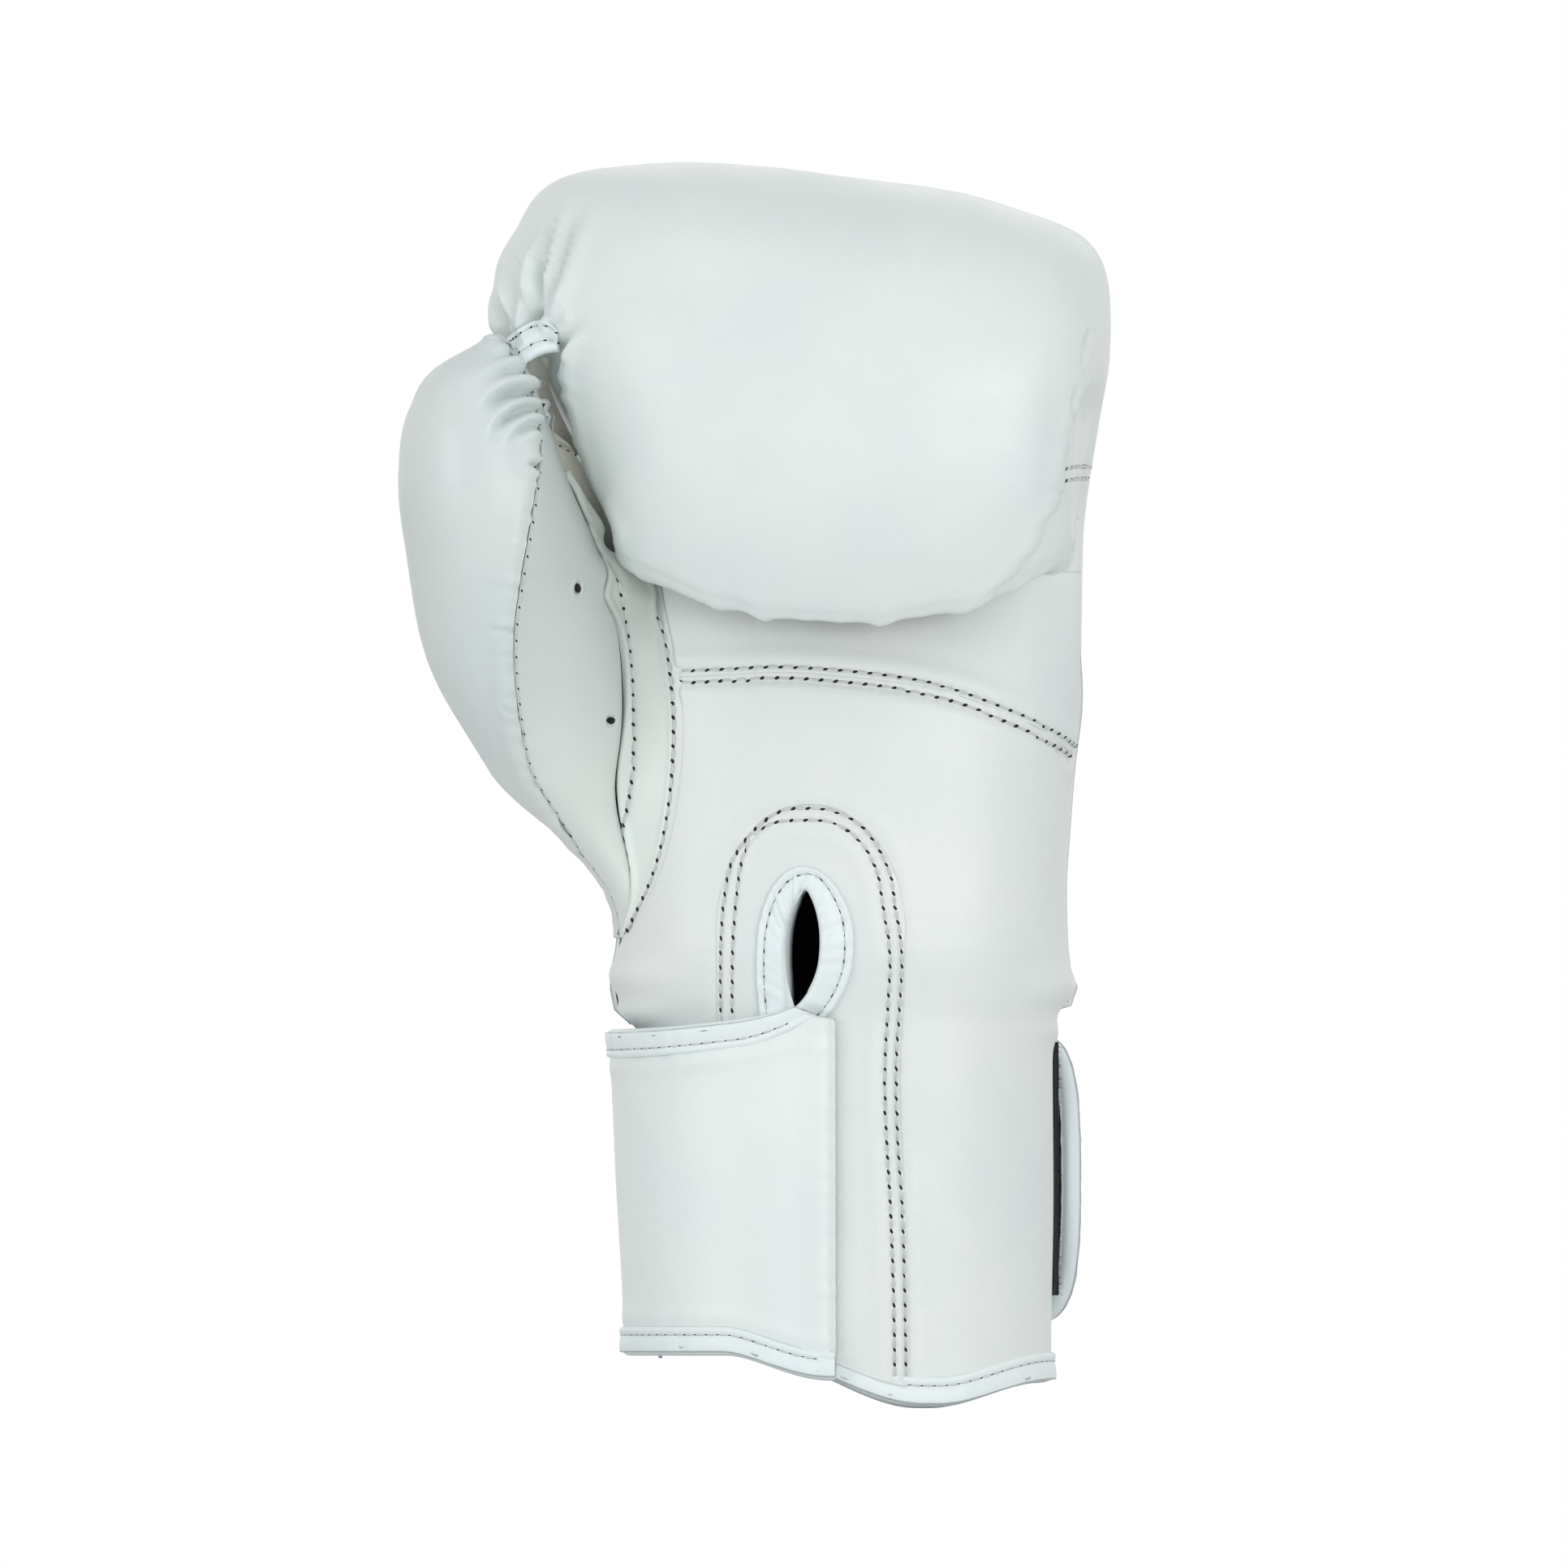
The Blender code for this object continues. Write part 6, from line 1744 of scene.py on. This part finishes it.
def strap_sheet(name, above, thickness, columns, rows, surface, relief=None, last=0.0):
    travel = sideways(STRAP_INSET, STRAP_LENGTH - last, columns)
    nearness = np.clip(1.0 - (travel - STRAP_INSET) / STRAP_CORNER, 0.0, 1.0)
    cutback = STRAP_CORNER_TALL * (1.0 - np.sqrt(1.0 - nearness**2))
    low = strap_low(travel) + STRAP_INSET + cutback
    high = strap_rise(travel) - STRAP_INSET - cutback
    z = low + (high - low) * down(0.0, 1.0, rows)
    travel = travel + 0 * z
    above = above + (relief(travel, z) if relief else 0.0)
    return layer(name, strap_point(travel, z, above), strap_point(travel, z, above - thickness), surface)


def leather_of_strap(travel, z):
    """Height of the strap's leather over its smooth shape."""
    height = undulating(strap_point(travel, z), 0.16, 34.0, 81)
    seam = STRAP_LENGTH - travel
    height += bells(seam, (0.9, 4.0, 3.2), (-1.3, 0.0, 1.3))
    height += 0.16 * ripple(z, 82, 4.0, 9.0) * np.exp(-seam / 2.5)
    edge = np.minimum(z - strap_low(travel), strap_rise(travel) - z) - STRAP_BINDING_WIDTH
    gathers = 0.10 * ripple(travel, 83, 5.0, 12.0) * np.exp(-np.abs(edge) / 2.5)
    return height + 0.3 * bell(edge, 2.4, 2.0) + gathers


def strap_edge():
    """The strap's outline without its sewn end: travel, height, and the inward way at each place."""
    long, tall = STRAP_CORNER + STRAP_INSET, STRAP_CORNER_TALL + STRAP_INSET
    top_start = STRAP_LENGTH - STRAP_TURN_UP
    path = [(t, float(strap_low(t)), 0.0, 1.0) for t in np.linspace(long, STRAP_LENGTH - 0.5, 320)[::-1]]
    low, high = float(strap_low(long)), float(strap_rise(long))
    bends = []
    for turn in np.linspace(0.0, np.pi / 2, 26)[1:-1]:
        inward = unit(np.array([np.sin(turn) / long, np.cos(turn) / tall]))
        bends.append((long * (1 - np.sin(turn)), tall * (1 - np.cos(turn)), *inward))
    path += [(t, low + climb, ahead, up) for t, climb, ahead, up in bends]
    path += [(0.0, z, 1.0, 0.0) for z in np.linspace(low + tall, high - tall, 5)]
    path += [(t, high - climb, ahead, -up) for t, climb, ahead, up in bends[::-1]]
    # Near its sewn end the upper binding turns up into the one round the slit.
    for t in np.linspace(long, top_start, 300):
        lean = np.radians(66.0) * smooth(t, top_start - 17.0, top_start) ** 1.1
        path.append((t, float(strap_rise(t)), np.sin(lean), -np.cos(lean)))
    return np.array(path).T


def make_strap():
    look = STRAP_LEATHER, leather_of_strap
    panel = strap_sheet("strap_leather", LEATHER, LEATHER - 0.2, 330, 110, *look, last=0.3)
    lining = strap_sheet("strap_lining_cloth", -SEAT, LINING, 160, 30, LINING_CLOTH, last=3.0)
    travel, z, ahead, upward = strap_edge()
    edge = strap_point(travel, z)
    inward = unit(strap_point(travel + ahead, z + upward) - edge)
    normal = unit(strap_point(travel, z, 1.0) - edge)
    above, below = LEATHER + 0.1, SEAT + LINING + 0.1
    binding, line = band("strap_binding", edge, inward, normal, STRAP_BINDING_WIDTH, above, below, 84)
    for made, slot, *nodes in (
        (panel, "white_leather", "strap_panel", "strap_end_panel"),
        (lining, "lining", "strap_lining", "strap_end_lining"),
        (binding, "binding", "strap_upper_binding", "strap_lower_binding", "strap_end_binding"),
    ):
        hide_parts(*nodes)
    sew("strap", line[8:-8], normal[8:-8], **BAND_STITCHES)
    bend = float(np.interp(STRAP_BEND_ANGLE, STRAP_ANGLES, STRAP_RUN))
    middle_z = (STRAP_FOOT + STRAP_TOP) / 2
    start, end = (tuple(strap_point(bend + d, middle_z) * MM) for d in (9.0, -9.0))
    for made in (panel, lining, binding, group_object("strap_thread"), group_object("strap_holes")):
        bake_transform(made)


# --- tapes

WEAVE_STEP = 1.1
LOOP_DEPTH = -SEAT - TAPE
HOOK_TOP = STRAP_TOP - TAPE_INSET
HOOK_DEPTH = -(STRAP_LINING_AT - SEAT - TAPE)
# Node, body, depth, side on which the pile stands, start along the strap, inset at the foot, top,
# length of the pile, count of hairs and seed.
TAPES = [
    ("loop_tape", "glove", LOOP_DEPTH, 1, -LOOP_REACH, LOOP_INSET, LOOP_TOP, 0.9, 3000, 91),
    ("hook_tape", "strap_end", HOOK_DEPTH, -1, TAPE_OFFSET, TAPE_INSET, HOOK_TOP, 0.5, 1200, 92),
]


def hair_template():
    """A short curl, standing up along z, with half-width 1."""
    turn = full_turn(4)
    points = []
    for share in np.linspace(0.0, 1.0, 5):
        lean = 1.6 * share**2
        thin = 0.11 * (1.0 - 0.55 * share)
        points += [(lean + thin * np.cos(t), thin * np.sin(t), share) for t in turn]
    return np.array(points), np.concatenate([grid_quads(5, 4, closed=True), [(3, 2, 1, 0), (16, 17, 18, 19)]])


def tape_foot(travel, inset):
    """Height of a tape's lower edge."""
    angle = strap_at(travel)
    return np.maximum(strap_foot(angle) + inset, cuff_edge(angle) + CUFF_BINDING_WIDTH + SEAT)


def make_tape(node, body, depth, out, start, inset, top, pile, count, seed):
    """A strip of woven tape with a pile of hooks or loops on one face."""
    name = node + "_strip"
    end = TAPE_OFFSET + TAPE_LENGTH
    travel = sideways(start, end, 140)
    low = tape_foot(travel, inset)
    z = low + (top - low) * down(0.0, 1.0, 60)
    angle = strap_at(travel)
    weave = 0.05 * np.cos(z * 2 * np.pi / WEAVE_STEP) * np.cos(travel * 2 * np.pi / WEAVE_STEP)
    made = layer(name, tube(angle, z, depth + weave), tube(angle, z, depth + TAPE * out * 0.75), TAPE_WEAVE)
    finish_piece(made, body, "tape", node)
    chance = np.random.default_rng(seed)
    where = start + 0.6 + (end - start - 1.2) * chance.random(count)
    low = tape_foot(where, inset) + 0.5
    height = low + (top - 0.5 - low) * chance.random(count)
    roots = tube(strap_at(where), height, depth)
    up = tube(strap_at(where), height, depth - out * 1.0) - roots
    up = unit(unit(up) + 0.35 * chance.normal(size=(count, 3)))
    ahead = unit(np.cross(up, chance.normal(size=(count, 3))))
    tall = pile * (0.55 + 0.75 * chance.random(count))
    sizes = np.stack([0.5 * tall, 0.6 + 0 * tall, tall], axis=1)
    stamp(name, hair_template(), roots, ahead, up, sizes)
    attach(group_object(name, TAPE_PILE, name + "_fuzz"), body)


def group_object(group, surface=None, name=None):
    """The piece that a group's stitches or hairs become."""
    parts = SEWING.pop(group)
    points, quads = (np.concatenate(arrays) for arrays in zip(*parts))
    surface = surface or (HOLE if group.endswith("_holes") else THREAD)
    made = mesh_object(name or group, points, quads, surface)
    return made


# --- assembly


def main():
    fist_tree = tree_of(make_knuckle_leather())
    make_pad_insides()
    palm_tree, panels = make_palm_leather()
    (lower, lower_points), (upper, upper_points) = panels["lower"], panels["upper"]
    insides = make_palm_insides()
    make_seam_underlays()
    make_grip_roll()
    facing = make_facing(palm_tree)
    cutter = slit_cutter()
    for made in (lower, *insides, facing):
        cut(made, cutter)
    bpy.data.objects.remove(cutter)
    finish_piece(facing, "glove", "white_leather", "slit_facing")
    finish_piece(lower, "glove", "white_leather", "palm_lower_panel")
    finish_piece(upper, "glove", "white_leather", "palm_upper_panel")
    for points, side in ((upper_points, -0.5), (lower_points, 0.5)):
        sew_on(tree_of(points), "glove", drawn_beside(palm_tree, ARC_SEAM, side * ROW_GAP))
    make_slit_ring()
    make_cuff_pieces()
    thumb_tree = make_thumb_leather()
    make_thumb_insides()
    make_webs()
    make_thumb_lock_tab(thumb_tree, fist_tree)
    make_strap()
    for tape in TAPES:
        make_tape(*tape)
    for group in list(SEWING):
        made = group_object(group, name=group + "s" if group.endswith("thread") else group)
        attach(made, "glove")


main()


# --- floor, lights and camera

WORLD_LIGHT = 0.60
GLOVE_MIDDLE = (-0.014, 0.0, 0.15)
VIEW_WIDTH = 0.37674
CAMERA_PLACE = (-0.01443, -3.0, 0.14996)
# Name, place, what it looks at, size and power.
LIGHTS = [
    ("key", (0.60, -1.30, 0.26), (-0.014, 0.0, 0.10), (0.9, 0.46), 5.2),
    ("fill", (-1.3, -1.1, 0.35), GLOVE_MIDDLE, (0.8, 0.6), 4.1),
    ("top", (-0.3, -0.8, 1.6), GLOVE_MIDDLE, (1.0, 1.0), 2.6),
    ("back", (0.3, 1.6, 1.2), GLOVE_MIDDLE, (1.2, 1.2), 2.5),
]


def make_stage():
    bpy.ops.mesh.primitive_plane_add(size=6.0, location=(0.0, 0.0, -0.0006))
    floor = bpy.context.object
    floor.name = "floor"
    floor.data.materials.append(material("floor", Base_Color=(0.86, 0.86, 0.86, 1.0), Roughness=0.9)[0])

    world = bpy.data.worlds.new("studio")
    bpy.context.scene.world = world
    world.use_nodes = True
    tree = world.node_tree
    background = tree.nodes["Background"]
    background.inputs["Color"].default_value = (1.0, 1.0, 1.0, 1.0)
    camera, glossy, through_glass = (
        add(tree, "ShaderNodeLightPath", f"Is {kind} Ray") for kind in ("Camera", "Glossy", "Transmission")
    )
    seen = maximum(tree, maximum(tree, camera, glossy), through_glass)
    wire(tree, mapped(tree, seen, 0.0, 1.0, WORLD_LIGHT, 1.0), background.inputs["Strength"])


def make_light(name, place, aim, size, power):
    lamp = bpy.data.lights.new(name, "AREA")
    lamp.shape = "RECTANGLE"
    lamp.size, lamp.size_y = size
    lamp.energy = power
    made = bpy.data.objects.new(name, lamp)
    made.location = place
    made.rotation_euler = (Vector(aim) - Vector(place)).to_track_quat("-Z", "Y").to_euler()
    bpy.context.scene.collection.objects.link(made)


def make_camera():
    lens_data = bpy.data.cameras.new("camera")
    lens_data.type = "ORTHO"
    lens_data.ortho_scale = VIEW_WIDTH
    lens_data.clip_start, lens_data.clip_end = 0.1, 20.0
    camera = bpy.data.objects.new("camera", lens_data)
    camera.location = CAMERA_PLACE
    camera.rotation_euler = (np.pi / 2, 0.0, 0.0)
    bpy.context.scene.collection.objects.link(camera)
    bpy.context.scene.camera = camera


make_stage()
for light in LIGHTS:
    make_light(*light)
make_camera()
bpy.context.scene.view_settings.view_transform = "Standard"
